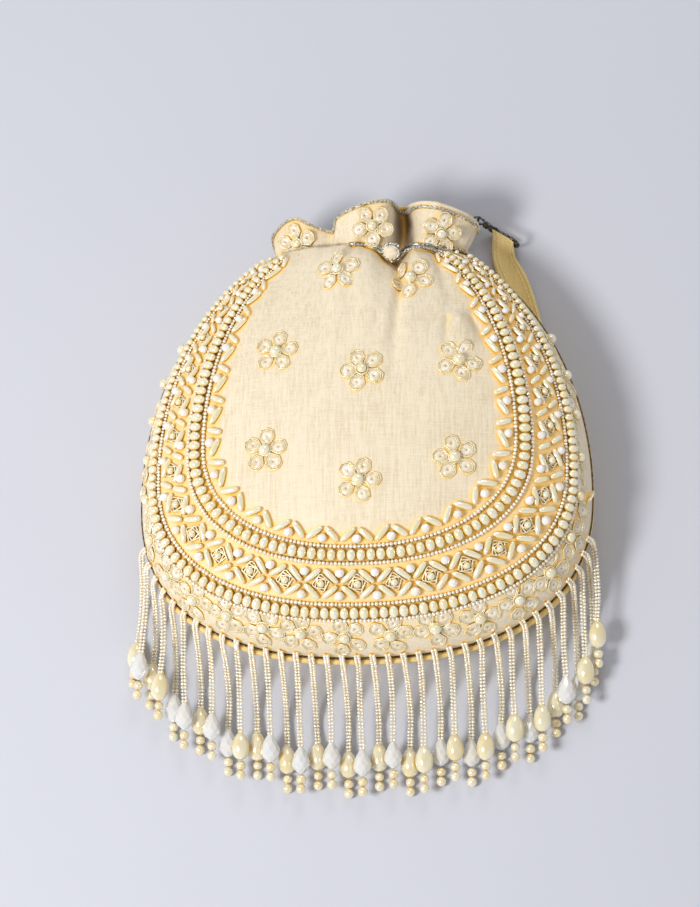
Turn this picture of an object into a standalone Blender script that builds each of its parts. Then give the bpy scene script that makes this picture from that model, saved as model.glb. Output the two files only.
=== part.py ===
# Potli bag: a drawstring evening bag in raw silk with a pearl border, a bead
# fringe and a wrist strap on a snap hook. Metres, +Z up. The bag lies on its
# back: X to its right, +Y towards its mouth, Z through its thickness. The
# origin is the middle of the flat patch that the back rests on.

from bisect import bisect_left
from functools import lru_cache
from math import acos, cos, pi, radians, sin, sqrt

import bmesh
import bpy
from mathutils import Matrix, Vector

MM = 0.001
SEAT_GAP = 0.35 * MM  # clear space between a piece and what it is sewn to or rests on

# Body, seen from the front
BODY_HALF_WIDTH = 99.0 * MM
WIDEST_Y = -13.9 * MM
BOTTOM_DEPTH = 70.8 * MM  # from the widest line down to the bottom seam
SHOULDER_REACH = 122.5 * MM  # full height of the ellipse that the shoulders follow
BOTTOM_SQUARENESS = 2.4
NECK_Y = 96.0 * MM
NECK_LEAN = 0.6 * MM  # the neck sits this far right of the middle

# Body, through its thickness
SEAM_Z = 24.0 * MM
SEAM_OPENING = 1.0 * MM  # half of the slot between the panels, which holds the fringe's heading
FRONT_RISE = 38.0 * MM
BACK_FLAT_SHARE = 0.785  # fullness at which the back meets the surface it lies on
PANEL_WALL = 1.6 * MM
LINING_INSET = 3.2 * MM
LINING_WALL = 0.7 * MM

# Gathers of the neck and lobes of the frill
LOBES = 8
LOBE_PHASE = radians(39)
GATHER_DEPTH = 2.2 * MM
GATHER_START_Y = 25.0 * MM
FRILL_HALF_WIDTH = 42.5 * MM
FRILL_FLARE = 3.2 * MM  # how much wider the frill is at its top
FRILL_LEAN = 1.8 * MM
FRILL_TOP_LEAN = 2.6 * MM  # its top leans this much further right
FRILL_FRONT_RISE = 17.0 * MM
FRILL_BACK_DROP = 13.5 * MM
FRILL_LENGTH = 18.0 * MM
FRILL_WALL = 1.0 * MM
LOBE_HEIGHT = 5.0 * MM
LOBE_ROOT_HEIGHT = 0.8 * MM
LOBE_SCALLOP = 2.0 * MM
FRILL_BACK_TRIM = 3.0 * MM  # the back of the mouth is cut this much lower
FRILL_COLUMNS = 5 * LOBES
LACE_WIDTH = 3.0 * MM
LACE_THICKNESS = 0.6 * MM
LACE_HEM = 1.2 * MM
DRAWSTRING_RADIUS = 0.9 * MM
PIPING_RADIUS = 0.7 * MM
PIPING_LIFT = 2.4 * MM

# Border rows, each on a U of the family between the field (0) and the seam (1)
FIELD_HALF_WIDTH = 58.6 * MM
FIELD_CENTRE_Y = 8.9 * MM
FIELD_DEPTH = 43.3 * MM
FIELD_REACH = 97.4 * MM
FIELD_SQUARENESS = 2.2
SIDE_EASE = 1.37
ROW_TOP_Y = 86.0 * MM
INNER_ZIGZAG_EDGES = (0.015, 0.135)
INNER_ZIGZAG_TURNS = 44
SEED_ROWS = (0.171, 0.31, 0.632, 0.753)
SEED_RADIUS = 0.8 * MM
SEED_ROW_COUNT = 23
OVAL_ROWS = (0.24, 0.692)
OVAL_RADIUS = 1.95 * MM
OVAL_PITCH = 9.4 * MM
DIAMOND_EDGES = (0.362, 0.585)
DIAMOND_TURNS = 25
RICE_RADIUS = 1.3 * MM
THREAD_RADIUS = 0.45 * MM
FLOWER_ROW_COUNT = 20
FLOWER_ROW_END_Y = 62.0 * MM

# Flowers
FLOWER_RADIUS = 8.2 * MM
FLOWER_NOTCH_RADIUS = 5.4 * MM
FLOWER_THICKNESS = 0.9 * MM
FLOWER_PEARL_HEIGHT = 3.0 * MM
FIELD_FLOWERS = (
    (-9.6 * MM, 84.3 * MM),
    (22.1 * MM, 79.5 * MM),
    (-35.7 * MM, 46.1 * MM),
    (2.2 * MM, 35.7 * MM),
    (43.5 * MM, 39.6 * MM),
    (-39.9 * MM, 0.8 * MM),
    (0.8 * MM, -14.2 * MM),
    (41.8 * MM, -4.9 * MM),
)

# Fringe
FRINGE_TOP_Y = -35.0 * MM
FRINGE_SECTIONS = 6
STRANDS_IN_SECTION = 6
HEADING_RADIUS = 0.45 * MM
HEADING_INSET = 0.8 * MM
STRING_RADIUS = 1.3 * MM
DROP_RADIUS = 4.2 * MM
DROP_LENGTH = 12.5 * MM
END_PEARL_RADIUS = 2.1 * MM
STRING_REACH = 35.0 * MM  # how far from the seam a drop's tip lies
FRINGE_SPREAD = 8.0 * MM  # how far the outermost strands splay

# Snap hook, chain and wrist strap
HOOK_EYE = Vector((49.5 * MM, 118.0 * MM))
HOOK_ANGLE = radians(-35)  # direction of the hook in plan
HOOK_WIRE = 0.8 * MM
HOOK_BAR_Z = 2.9 * MM
HOOK_HEIGHT = 8.8 * MM  # between the bar and the gate, axis to axis
HOOK_LENGTH = 21.2 * MM
HOOK_TIP_BEND = 2.4 * MM  # length of the turn-up at the hook's tip
HOOK_BARREL_RADIUS = 1.7 * MM
HOOK_BARREL_LENGTH = 2.6 * MM
GATE_RADIUS = 0.65 * MM
RING_RADIUS = 2.5 * MM
RING_WIRE = 0.5 * MM
RING_COUNT = 3
EYELET_RADIUS = 1.3 * MM
EYELET_RIM = 0.8 * MM
EYELET_ANGLE = radians(216)
STRAP_WIDTH = 11.6 * MM
STRAP_WALL = 1.0 * MM
STRAP_FOLD = 1.25 * MM  # inner radius of the fold that the hook's bar passes through
STRAP_LAYER_GAP = 0.8 * MM  # between the two layers at the far fold
STRAP_ROUTE = (
    (61.0 * MM, 99.5 * MM),
    (66.5 * MM, 86.0 * MM),
    (71.0 * MM, 70.0 * MM),
    (75.0 * MM, 52.0 * MM),
    (80.0 * MM, 31.0 * MM),
    (84.0 * MM, 9.0 * MM),
    (84.5 * MM, -14.0 * MM),
    (83.5 * MM, -32.0 * MM),
)

SILK = (0.80, 0.68, 0.47, 1)
TAN_SILK = (0.66, 0.50, 0.27, 1)
SATIN = (0.78, 0.70, 0.55, 1)
PEARL = (0.88, 0.76, 0.50, 1)
SEED_PEARL = (0.90, 0.83, 0.66, 1)
CLEAR_SEQUIN = (0.86, 0.80, 0.68, 1)
SILVER_THREAD = (0.62, 0.60, 0.55, 1)
DARK_METAL = (0.10, 0.10, 0.11, 1)


# Scene, materials and objects

def clear_scene():
    for ob in list(bpy.data.objects):
        bpy.data.objects.remove(ob, do_unlink=True)
    for name in ("potli_bag", "cutters"):
        collection = bpy.data.collections.new(name)
        bpy.context.scene.collection.children.link(collection)


def make_material(name, colour, roughness, metallic=0.0):
    material = bpy.data.materials.new(name)
    material.use_nodes = True
    shader = material.node_tree.nodes["Principled BSDF"]
    shader.inputs["Base Color"].default_value = colour
    shader.inputs["Roughness"].default_value = roughness
    shader.inputs["Metallic"].default_value = metallic
    material.diffuse_color = colour
    return material


def add_object(name, data, colour, roughness=0.6, metallic=0.0):
    ob = bpy.data.objects.new(name, data)
    bpy.data.collections["potli_bag"].objects.link(ob)
    data.materials.append(make_material(name, colour, roughness, metallic))
    return ob


def mesh_from(bm, name, smooth=True):
    bmesh.ops.recalc_face_normals(bm, faces=bm.faces)
    mesh = bpy.data.meshes.new(name)
    bm.to_mesh(mesh)
    bm.free()
    if smooth:
        mesh.shade_smooth()
    return mesh


def bead_curve(name, points, radii, sides=4, cyclic=False):
    """A wire or bead string: a straight-run curve whose thickness changes from point to point."""
    curve = bpy.data.curves.new(name, "CURVE")
    curve.dimensions = "3D"
    curve.bevel_depth = 1.0
    curve.bevel_resolution = (sides - 4) // 2
    curve.use_fill_caps = not cyclic
    spline = curve.splines.new("POLY")
    spline.points.add(len(points) - 1)
    for slot, point, radius in zip(spline.points, points, radii):
        slot.co = (*point, 1)
        slot.radius = radius
    spline.use_cyclic_u = cyclic
    return curve


def curve_to_mesh(curve, name):
    """The curve's solid as a mesh with its caps welded on."""
    ob = bpy.data.objects.new(name, curve)
    bpy.context.scene.collection.objects.link(ob)
    mesh = bpy.data.meshes.new_from_object(ob.evaluated_get(bpy.context.evaluated_depsgraph_get()))
    bpy.data.objects.remove(ob)
    bpy.data.curves.remove(curve)
    bm = bmesh.new()
    bm.from_mesh(mesh)
    bpy.data.meshes.remove(mesh)
    bmesh.ops.remove_doubles(bm, verts=bm.verts, dist=0.001 * MM)
    return mesh_from(bm, name, smooth=False)


def merge_meshes(meshes, name):
    """Several separate solids in one mesh, to be united with a carrier."""
    bm = bmesh.new()
    for mesh in meshes:
        bm.from_mesh(mesh)
        bpy.data.meshes.remove(mesh)
    return mesh_from(bm, name, smooth=False)


def combine(ob, mesh, operation="UNION"):
    """Unites the object with a mesh, or cuts the mesh out of it."""
    tool = bpy.data.objects.new(f"{ob.name}_{mesh.name}", mesh)
    bpy.data.collections["cutters"].objects.link(tool)
    tool.hide_render = True
    tool.display_type = "WIRE"
    modifier = ob.modifiers.new(mesh.name, "BOOLEAN")
    modifier.operation = operation
    modifier.object = tool


def add_wall(ob, thickness):
    wall = ob.modifiers.new("Wall", "SOLIDIFY")
    wall.thickness = thickness
    wall.offset = -1
    wall.use_even_offset = False


def skin(name, rows, closed=False, smooth=True):
    """An open sheet through rows of points; closed joins each row's end to its start."""
    bm = bmesh.new()
    verts = [[bm.verts.new(point) for point in row] for row in rows]
    across = len(rows[0])
    for lower, upper in zip(verts, verts[1:]):
        for i in range(across if closed else across - 1):
            j = (i + 1) % across
            bm.faces.new((lower[i], lower[j], upper[j], upper[i]))
    mesh = bpy.data.meshes.new(name)
    bm.to_mesh(mesh)
    bm.free()
    if smooth:
        mesh.shade_smooth()
    return mesh


def ribbon(name, sections, cyclic=False):
    """A solid through closed sections with the same number of corners."""
    bm = bmesh.new()
    rings = [[bm.verts.new(point) for point in section] for section in sections]
    corners = len(sections[0])
    pairs = list(zip(rings, rings[1:]))
    if cyclic:
        pairs.append((rings[-1], rings[0]))
    else:
        bm.faces.new(rings[0][::-1])
        bm.faces.new(rings[-1])
    for near, far in pairs:
        for i in range(corners):
            j = (i + 1) % corners
            bm.faces.new((near[i], near[j], far[j], far[i]))
    return mesh_from(bm, name)


# Body shape

def clamp(value, low, high):
    return max(low, min(high, value))


def smooth_step(value):
    value = clamp(value, 0, 1)
    return value * value * (3 - 2 * value)


def lean_at(y):
    """The body's middle line leans to the right towards the neck."""
    return NECK_LEAN * max(0, (y - WIDEST_Y) / (NECK_Y - WIDEST_Y)) ** 2


def half_width_at(y, inset=0.0):
    """Half width of the shoulders at a height; the full half width below the widest line."""
    rise = max(0, y - WIDEST_Y) / (SHOULDER_REACH - inset)
    return (BODY_HALF_WIDTH - inset) * sqrt(max(0, 1 - rise * rise))


def fullness(x, y, inset=0.0):
    """1 at the fullest point, 0 on the seam, as the section of an ellipsoid."""
    side = abs(x - lean_at(y)) / (BODY_HALF_WIDTH - inset)
    if y >= WIDEST_Y:
        rise = (y - WIDEST_Y) / (SHOULDER_REACH - inset)
        reach = side * side + rise * rise
    else:
        drop = (WIDEST_Y - y) / (BOTTOM_DEPTH - inset)
        reach = (side ** BOTTOM_SQUARENESS + drop ** BOTTOM_SQUARENESS) ** (2 / BOTTOM_SQUARENESS)
    return sqrt(max(0, 1 - reach))


def gather_depth(x, y):
    """Soft folds that run down from the neck in the silk field."""
    share = clamp((x - lean_at(y)) / half_width_at(y), -1, 1)
    fade = smooth_step((y - GATHER_START_Y) / (NECK_Y - GATHER_START_Y)) ** 2
    middle = 1 - smooth_step((abs(share) - 0.35) / 0.3)
    angle = acos(-share)
    return GATHER_DEPTH * fade * middle * cos(LOBES * (angle - LOBE_PHASE))


def front_z(x, y, inset=0.0):
    rise = FRONT_RISE - inset - SEAM_OPENING
    return SEAM_Z + SEAM_OPENING + rise * fullness(x, y, inset) + gather_depth(x, y)


def back_z(x, y, inset=0.0):
    drop = SEAM_Z - SEAM_OPENING - inset
    return SEAM_Z - SEAM_OPENING - drop * min(1, fullness(x, y, inset) / BACK_FLAT_SHARE)


def front_normal(x, y):
    step = 0.3 * MM
    slope_x = (front_z(x + step, y) - front_z(x - step, y)) / (2 * step)
    slope_y = (front_z(x, y + step) - front_z(x, y - step)) / (2 * step)
    return Vector((-slope_x, -slope_y, 1)).normalized()


def panel_rows(height, columns, stations, inset=0.0, neck_y=NECK_Y):
    """Columns run from the bottom seam to the neck and close in with the shoulders, as the folds do."""
    rows = []
    for j in range(stations + 1):
        share_up = (j / stations) ** 1.6
        row = []
        for i in range(columns + 1):
            share = sin(pi * (i / columns - 0.5))
            depth = (BOTTOM_DEPTH - inset) * (1 - abs(share) ** BOTTOM_SQUARENESS) ** (1 / BOTTOM_SQUARENESS)
            start = WIDEST_Y - depth
            y = start + (neck_y - start) * share_up
            x = lean_at(y) + share * half_width_at(y, inset)
            row.append((x, y, height(x, y, inset)))
        rows.append(row)
    return rows


def make_panels():
    front = skin("front_panel", panel_rows(front_z, 22, 12))
    add_wall(add_object("front_panel", front, SILK), PANEL_WALL)
    back = skin("back_panel", [row[::-1] for row in panel_rows(back_z, 14, 8)])
    add_wall(add_object("back_panel", back, TAN_SILK), PANEL_WALL)


def make_lining():
    """One pouch: its front and back sheets meet along the side seam and open at the neck."""
    columns = 12
    stations = 6
    front = panel_rows(front_z, columns, stations, LINING_INSET, NECK_Y - LINING_INSET)
    back = panel_rows(back_z, columns, stations, LINING_INSET, NECK_Y - LINING_INSET)
    bm = bmesh.new()
    for rows, flip in ((front, False), (back, True)):
        verts = [[bm.verts.new(point) for point in row] for row in rows]
        for lower, upper in zip(verts, verts[1:]):
            for i in range(columns):
                corners = (lower[i], lower[i + 1], upper[i + 1], upper[i])
                bm.faces.new(corners[::-1] if flip else corners)
    seam = [v for v in bm.verts if abs(abs(v.co.z - SEAM_Z) - SEAM_OPENING) < 0.01 * MM]
    for vert in seam:
        vert.co.z = SEAM_Z
    bmesh.ops.remove_doubles(bm, verts=seam, dist=0.01 * MM)
    mesh = bpy.data.meshes.new("lining")
    bm.to_mesh(mesh)
    bm.free()
    add_wall(add_object("lining", mesh, SATIN, 0.4), LINING_WALL)


# Mouth

def frill_point(angle, share, offset=0.0):
    """A point of the frill: angle goes round from the left over the front, share goes out from the neck."""
    wave = cos(LOBES * (angle - LOBE_PHASE))
    height = LOBE_ROOT_HEIGHT + (LOBE_HEIGHT - LOBE_ROOT_HEIGHT) * share
    rise = FRILL_FRONT_RISE if sin(angle) > 0 else FRILL_BACK_DROP
    length = FRILL_LENGTH + LOBE_SCALLOP * wave + FRILL_BACK_TRIM * min(0, sin(angle))
    y = NECK_Y + SEAT_GAP + share * length
    half = FRILL_HALF_WIDTH + FRILL_FLARE * share + wave * height * 0.5 + offset
    x = FRILL_LEAN + FRILL_TOP_LEAN * share - half * cos(angle)
    z = SEAM_Z + (rise + wave * height + offset) * sin(angle)
    return Vector((x, y, z))


def frill_normal(angle, share):
    step = 0.01
    round_way = frill_point(angle + step, share) - frill_point(angle - step, share)
    out_way = frill_point(angle, share + step) - frill_point(angle, share - step)
    return round_way.cross(out_way).normalized()


def frill_seat(angle, share, height):
    return frill_point(angle, share) + frill_normal(angle, share) * height


def frill_angles(count):
    return [2 * pi * i / count for i in range(count)]


def make_frill():
    around = FRILL_COLUMNS
    rows = [[frill_point(angle, j / 3) for angle in frill_angles(around)] for j in range(4)]
    frill = add_object("mouth_frill", skin("mouth_frill", rows, closed=True), SILK)
    add_wall(frill, FRILL_WALL)
    eyelet = bmesh.new()
    hole = frill_seat(EYELET_ANGLE, eyelet_share(), -FRILL_WALL / 2)
    turn = frill_normal(EYELET_ANGLE, eyelet_share()).to_track_quat("Z", "Y").to_matrix().to_4x4()
    bmesh.ops.create_cone(
        eyelet, cap_ends=True, segments=8, radius1=EYELET_RADIUS, radius2=EYELET_RADIUS,
        depth=6 * FRILL_WALL, matrix=Matrix.Translation(hole) @ turn,
    )
    combine(frill, mesh_from(eyelet, "eyelet", smooth=False), "DIFFERENCE")


def eyelet_share():
    """The eyelet sits in the gap of the lace, with a narrow rim of cloth beyond it."""
    return 1 - (EYELET_RADIUS + EYELET_RIM) / FRILL_LENGTH


def make_lace():
    """The lace lies on the frill's outside, a narrow hem in from its edge, and stops at the eyelet."""
    outer = 1 - LACE_HEM / FRILL_LENGTH
    inner = outer - LACE_WIDTH / FRILL_LENGTH
    low = SEAT_GAP + 0.15 * MM
    high = low + LACE_THICKNESS
    around = FRILL_COLUMNS
    first = int(EYELET_ANGLE / (2 * pi) * around) + 1
    corners = ((inner, low), (outer, low), (outer, high), (inner, high))
    sections = []
    for i in range(around - 1):
        angle = 2 * pi * (first + i) / around
        sections.append([frill_seat(angle, share, height) for share, height in corners])
    add_object("frill_lace", ribbon("frill_lace", sections), SILVER_THREAD, 0.35, 0.8)


def make_drawstring():
    """The cord lies in the groove between the body's neck and the frill."""
    share = (DRAWSTRING_RADIUS + SEAT_GAP) / FRILL_LENGTH
    lift = DRAWSTRING_RADIUS + SEAT_GAP + 0.1 * MM
    points = [frill_seat(angle, share, lift) for angle in frill_angles(LOBES * 4)]
    cord = bead_curve("drawstring", points, [DRAWSTRING_RADIUS] * len(points), cyclic=True)
    add_object("drawstring", cord, SILVER_THREAD, 0.4, 0.6)


# Embroidery

def u_row(place, side_points=60, top_y=ROW_TOP_Y):
    """Plan points of one U of the border family, from the left of the neck round to the right."""
    half = FIELD_HALF_WIDTH + (BODY_HALF_WIDTH - FIELD_HALF_WIDTH) * (1 - (1 - place) ** SIDE_EASE)
    centre = FIELD_CENTRE_Y + (WIDEST_Y - FIELD_CENTRE_Y) * place
    depth = FIELD_DEPTH + (BOTTOM_DEPTH - FIELD_DEPTH) * place
    reach = FIELD_REACH + (SHOULDER_REACH - FIELD_REACH) * place
    power = FIELD_SQUARENESS + (BOTTOM_SQUARENESS - FIELD_SQUARENESS) * place
    top_angle = acos(clamp((top_y - centre) / reach, -1, 1))
    right = []
    for i in range(side_points):
        angle = pi / 2 * i / side_points
        across = sin(angle) ** (2 / power)
        right.append((half * across, centre - depth * cos(angle) ** (2 / power)))
    for i in range(side_points + 1):
        angle = pi / 2 + (top_angle - pi / 2) * i / side_points
        y = centre + reach * cos(angle)
        right.append((half * sin(angle) + lean_at(y) * place, y))
    left = [(2 * lean_at(y) * place - x, y) for x, y in right[:0:-1]]
    return [Vector((x, y, 0)) for x, y in left + right]


def spread(points, count):
    """The given number of points, evenly spaced along a line, with both ends."""
    lengths = [0.0]
    for near, far in zip(points, points[1:]):
        lengths.append(lengths[-1] + (far - near).length)
    result = []
    for i in range(count):
        target = lengths[-1] * i / (count - 1)
        k = clamp(bisect_left(lengths, target), 1, len(points) - 1)
        share = (target - lengths[k - 1]) / (lengths[k] - lengths[k - 1])
        result.append(points[k - 1].lerp(points[k], share))
    return result


def path_length(points):
    return sum((far - near).length for near, far in zip(points, points[1:]))


def on_front(point, height):
    """Lifts a plan point to a height over the front panel."""
    return Vector((point.x, point.y, front_z(point.x, point.y))) + front_normal(point.x, point.y) * height


@lru_cache(maxsize=None)
def seated_row(place):
    return [on_front(point, 0) for point in u_row(place, side_points=200)]


def narrowing(point, place, neighbour):
    """How close two rows lie at this point, as a share of their distance at the bottom of the bag."""
    own = seated_row(place)
    other = seated_row(neighbour)
    full = (own[len(own) // 2] - other[len(other) // 2]).length
    seat = on_front(point, 0)
    return min(1, min((seat - spot).length for spot in other) / full)


def add_seed_row(name, place, neighbour):
    """A row of tiny beads on one thread, beside the row of ovals at the neighbouring place."""
    points = []
    radii = []
    for point in spread(u_row(place), SEED_ROW_COUNT):
        radius = SEED_RADIUS * narrowing(point, place, neighbour)
        points.append(on_front(point, radius + SEAT_GAP + 0.1 * MM))
        radii.append(radius)
    add_object(name, bead_curve(name, points, radii), SEED_PEARL, 0.3)


def add_oval_row(name, place, neighbour):
    """Oval pearls side by side on one thread. They sit closer and lower where the border narrows."""
    line = u_row(place)
    beads = round(path_length(line) / OVAL_PITCH)
    points = []
    radii = []
    for i, point in enumerate(spread(line, 2 * beads + 1)):
        radius = OVAL_RADIUS * narrowing(point, place, neighbour)
        points.append(on_front(point, radius + SEAT_GAP))
        radii.append(radius if i % 2 else radius * 0.55)
    add_object(name, bead_curve(name, points, radii), PEARL, 0.25)


def add_rice_zigzag(name, edges, turns, first_edge, pearls=1, raised=False):
    """Long pearls end to end in a zigzag between two rows of the border."""
    lines = [spread(u_row(edge), turns + 1) for edge in edges]
    corners = [lines[(i + first_edge) % 2][i] for i in range(turns + 1)]
    points = []
    radii = []
    for i, near in enumerate(corners):
        scale = narrowing(near, edges[(i + first_edge) % 2], edges[(i + first_edge + 1) % 2])
        rice = RICE_RADIUS * scale
        lift = rice + SEAT_GAP + (2 * THREAD_RADIUS * scale + SEAT_GAP if raised else 0)
        points.append(on_front(near, lift))
        radii.append(THREAD_RADIUS * scale)
        for k in range(1, 2 * pearls if i < turns else 0):
            points.append(on_front(near.lerp(corners[i + 1], k / (2 * pearls)), lift))
            radii.append(rice if k % 2 else THREAD_RADIUS * scale)
    add_object(name, bead_curve(name, points, radii), PEARL, 0.25)


def make_border():
    for i, place in enumerate(SEED_ROWS):
        add_seed_row(f"seed_row_{i + 1}", place, OVAL_ROWS[i // 2])
    for i, place in enumerate(OVAL_ROWS):
        add_oval_row(f"oval_pearl_row_{i + 1}", place, SEED_ROWS[2 * i])
    add_rice_zigzag("inner_zigzag", INNER_ZIGZAG_EDGES, INNER_ZIGZAG_TURNS, 1)
    add_rice_zigzag("diamond_row_a", DIAMOND_EDGES, DIAMOND_TURNS, 0, 2)
    add_rice_zigzag("diamond_row_b", DIAMOND_EDGES, DIAMOND_TURNS, 1, 2, raised=True)


def flower_mesh(name, seat, radius=FLOWER_RADIUS):
    """Five petals round a pearl. seat(u, v, height) puts a point of the flower on the cloth."""
    low = SEAT_GAP + 0.1 * MM
    high = low + FLOWER_THICKNESS
    notch = radius * FLOWER_NOTCH_RADIUS / FLOWER_RADIUS
    bm = bmesh.new()

    def ring(count, radii, height):
        points = []
        for i in range(count):
            angle = 2 * pi * i / count
            points.append(bm.verts.new(seat(radii[i % len(radii)] * cos(angle),
                                            radii[i % len(radii)] * sin(angle), height)))
        return points

    outline = (radius, notch)
    lower = ring(10, outline, low)
    upper = ring(10, outline, high)
    upper_inner = ring(5, (radius * 0.30,), high)
    base = bm.verts.new(seat(0, 0, low))
    tip = bm.verts.new(seat(0, 0, low + FLOWER_PEARL_HEIGHT))
    for i in range(10):
        bm.faces.new((lower[i], lower[(i + 1) % 10], upper[(i + 1) % 10], upper[i]))
        bm.faces.new((lower[i], lower[(i + 1) % 10], base))
    for i in range(5):
        petal, notch_spot, next_petal = upper[2 * i], upper[2 * i + 1], upper[(2 * i + 2) % 10]
        near, far = upper_inner[i], upper_inner[(i + 1) % 5]
        bm.faces.new((petal, notch_spot, near))
        bm.faces.new((notch_spot, far, near))
        bm.faces.new((notch_spot, next_petal, far))
        bm.faces.new((near, far, tip))
    return mesh_from(bm, name)


def panel_seat(x, y, turn=0.0):
    """A seat for a flower on the front panel, laid along the cloth at the given place."""
    normal = front_normal(x, y)
    along = Vector((cos(turn), sin(turn), 0))
    along = (along - normal * along.dot(normal)).normalized()
    across = normal.cross(along)

    def seat(u, v, height):
        plan = Vector((x, y, 0)) + along * u + across * v
        low_limit = fullness(plan.x, plan.y)
        if low_limit < 0.12:
            return Vector((x, y, front_z(x, y))) + along * u + across * v + normal * height
        return on_front(plan, height)

    return seat


def frill_flower_seat(angle, share):
    centre = frill_point(angle, share)
    normal = frill_normal(angle, share)
    along = Vector((0, 1, 0))
    along = (along - normal * along.dot(normal)).normalized()
    across = normal.cross(along)

    def seat(u, v, height):
        return centre + along * u + across * v + normal * (height + 0.6 * MM)

    return seat


def border_flower_places():
    """Even places midway between the last seed row and the piping, with the room that each has."""
    steps = 24
    inner = SEED_ROWS[-1]
    places = [inner + (1 - inner) * j / steps for j in range(steps)]
    lines = [spread(u_row(place, top_y=FLOWER_ROW_END_Y), FLOWER_ROW_COUNT) for place in places]
    seam = spread(u_row(1.0, top_y=FLOWER_ROW_END_Y), FLOWER_ROW_COUNT)
    result = []
    for i in range(FLOWER_ROW_COUNT):
        start = on_front(lines[0][i], 0)
        stop = seam[i] + Vector((0, 0, SEAM_Z + PIPING_LIFT + PIPING_RADIUS))

        def uneven(j):
            seat = on_front(lines[j][i], 0)
            return abs((seat - start).length - (seat - stop).length)

        best = min(range(steps), key=uneven)
        seat = on_front(lines[best][i], 0)
        room = min((seat - start).length - SEED_RADIUS, (seat - stop).length) - 2 * SEAT_GAP
        result.append((lines[best][i], room))
    return result


def make_flowers():
    for i, (x, y) in enumerate(FIELD_FLOWERS):
        name = f"field_flower_{i + 1}"
        mesh = flower_mesh(name, panel_seat(x, y, radians(90 + 20 * i)))
        add_object(name, mesh, CLEAR_SEQUIN, 0.25)
    for i, (point, room) in enumerate(border_flower_places()):
        name = f"border_flower_{i + 1}"
        mesh = flower_mesh(name, panel_seat(point.x, point.y, radians(36 * i)), min(FLOWER_RADIUS, room))
        add_object(name, mesh, CLEAR_SEQUIN, 0.25)
    for i in range(3):
        name = f"frill_flower_{i + 1}"
        angle = LOBE_PHASE + i * 2 * pi / LOBES
        mesh = flower_mesh(name, frill_flower_seat(angle, 0.42), 0.75 * FLOWER_RADIUS)
        add_object(name, mesh, CLEAR_SEQUIN, 0.25)


def make_piping():
    line = spread(u_row(1.0, top_y=NECK_Y - 2 * MM), 34)
    out = PIPING_RADIUS + SEAT_GAP
    points = []
    for i, point in enumerate(line):
        ahead = line[min(i + 1, len(line) - 1)] - line[max(i - 1, 0)]
        outward = Vector((ahead.y, -ahead.x, 0)).normalized()
        points.append(point + outward * out + Vector((0, 0, SEAM_Z + PIPING_LIFT)))
    piping = bead_curve("seam_piping", points, [PIPING_RADIUS] * len(points))
    add_object("seam_piping", piping, SILVER_THREAD, 0.4, 0.7)


# Fringe

def fringe_roots():
    """Places along the seam where strands start, with the seam's outward direction at each."""
    lower = [point for point in u_row(1.0, side_points=200) if point.y < FRINGE_TOP_Y]
    count = FRINGE_SECTIONS * STRANDS_IN_SECTION
    roots = spread(lower, count)
    places = []
    for i, root in enumerate(roots):
        ahead = roots[min(i + 1, count - 1)] - roots[max(i - 1, 0)]
        places.append((root, Vector((ahead.y, -ahead.x, 0)).normalized()))
    return places


def strand_line(index, places):
    """Centreline and thickness of one strand: off the seam, down to the surface, along it, and its drop."""
    root, outward = places[index]
    neighbour = places[index - 1 if index else 1][0]
    spacing = abs(root.x - neighbour.x)
    ground = DROP_RADIUS + SEAT_GAP
    raised = index % 2 == 1
    if raised:
        touching = 2 * DROP_RADIUS + SEAT_GAP
        ground += sqrt(max(0, touching ** 2 - min(spacing, touching) ** 2))
    string_z = ground if raised else STRING_RADIUS + SEAT_GAP
    splay = FRINGE_SPREAD * (abs(root.x) / BODY_HALF_WIDTH) ** 8 * (1 if root.x > 0 else -1)
    reach = STRING_REACH + (2 * MM if index % 4 < 2 else -1 * MM)

    def along(distance, z):
        start = root + outward * min(distance, 2.6 * MM)
        return Vector((start.x + splay * distance / (reach + DROP_LENGTH),
                       start.y - max(0, distance - 2.6 * MM), z))

    tip = reach
    base = reach + DROP_LENGTH
    end_z = ground - (ground - END_PEARL_RADIUS - SEAT_GAP) * (0.3 if raised else 1)
    steps = [
        (root - outward * HEADING_INSET + Vector((0, 0, SEAM_Z)), HEADING_RADIUS * 0.8),
        (along(3.0 * MM, SEAM_Z - 1.2 * MM), STRING_RADIUS),
        (along(8.5 * MM, string_z + (SEAM_Z - string_z) * 0.38), STRING_RADIUS),
        (along(16 * MM, string_z + 0.3 * MM), STRING_RADIUS),
        (along(tip, string_z + (ground - string_z) * 0.8), STRING_RADIUS * 0.7),
        (along(tip + DROP_LENGTH * 0.62, ground), DROP_RADIUS),
        (along(base, ground + (end_z - ground) * 0.6), END_PEARL_RADIUS * 0.5),
        (along(base + END_PEARL_RADIUS, end_z), END_PEARL_RADIUS),
        (along(base + 2 * END_PEARL_RADIUS, end_z), END_PEARL_RADIUS * 0.5),
        (along(base + 3 * END_PEARL_RADIUS, end_z), END_PEARL_RADIUS),
        (along(base + 3.9 * END_PEARL_RADIUS, end_z), END_PEARL_RADIUS * 0.4),
    ]
    return [point for point, radius in steps], [radius for point, radius in steps]


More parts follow.
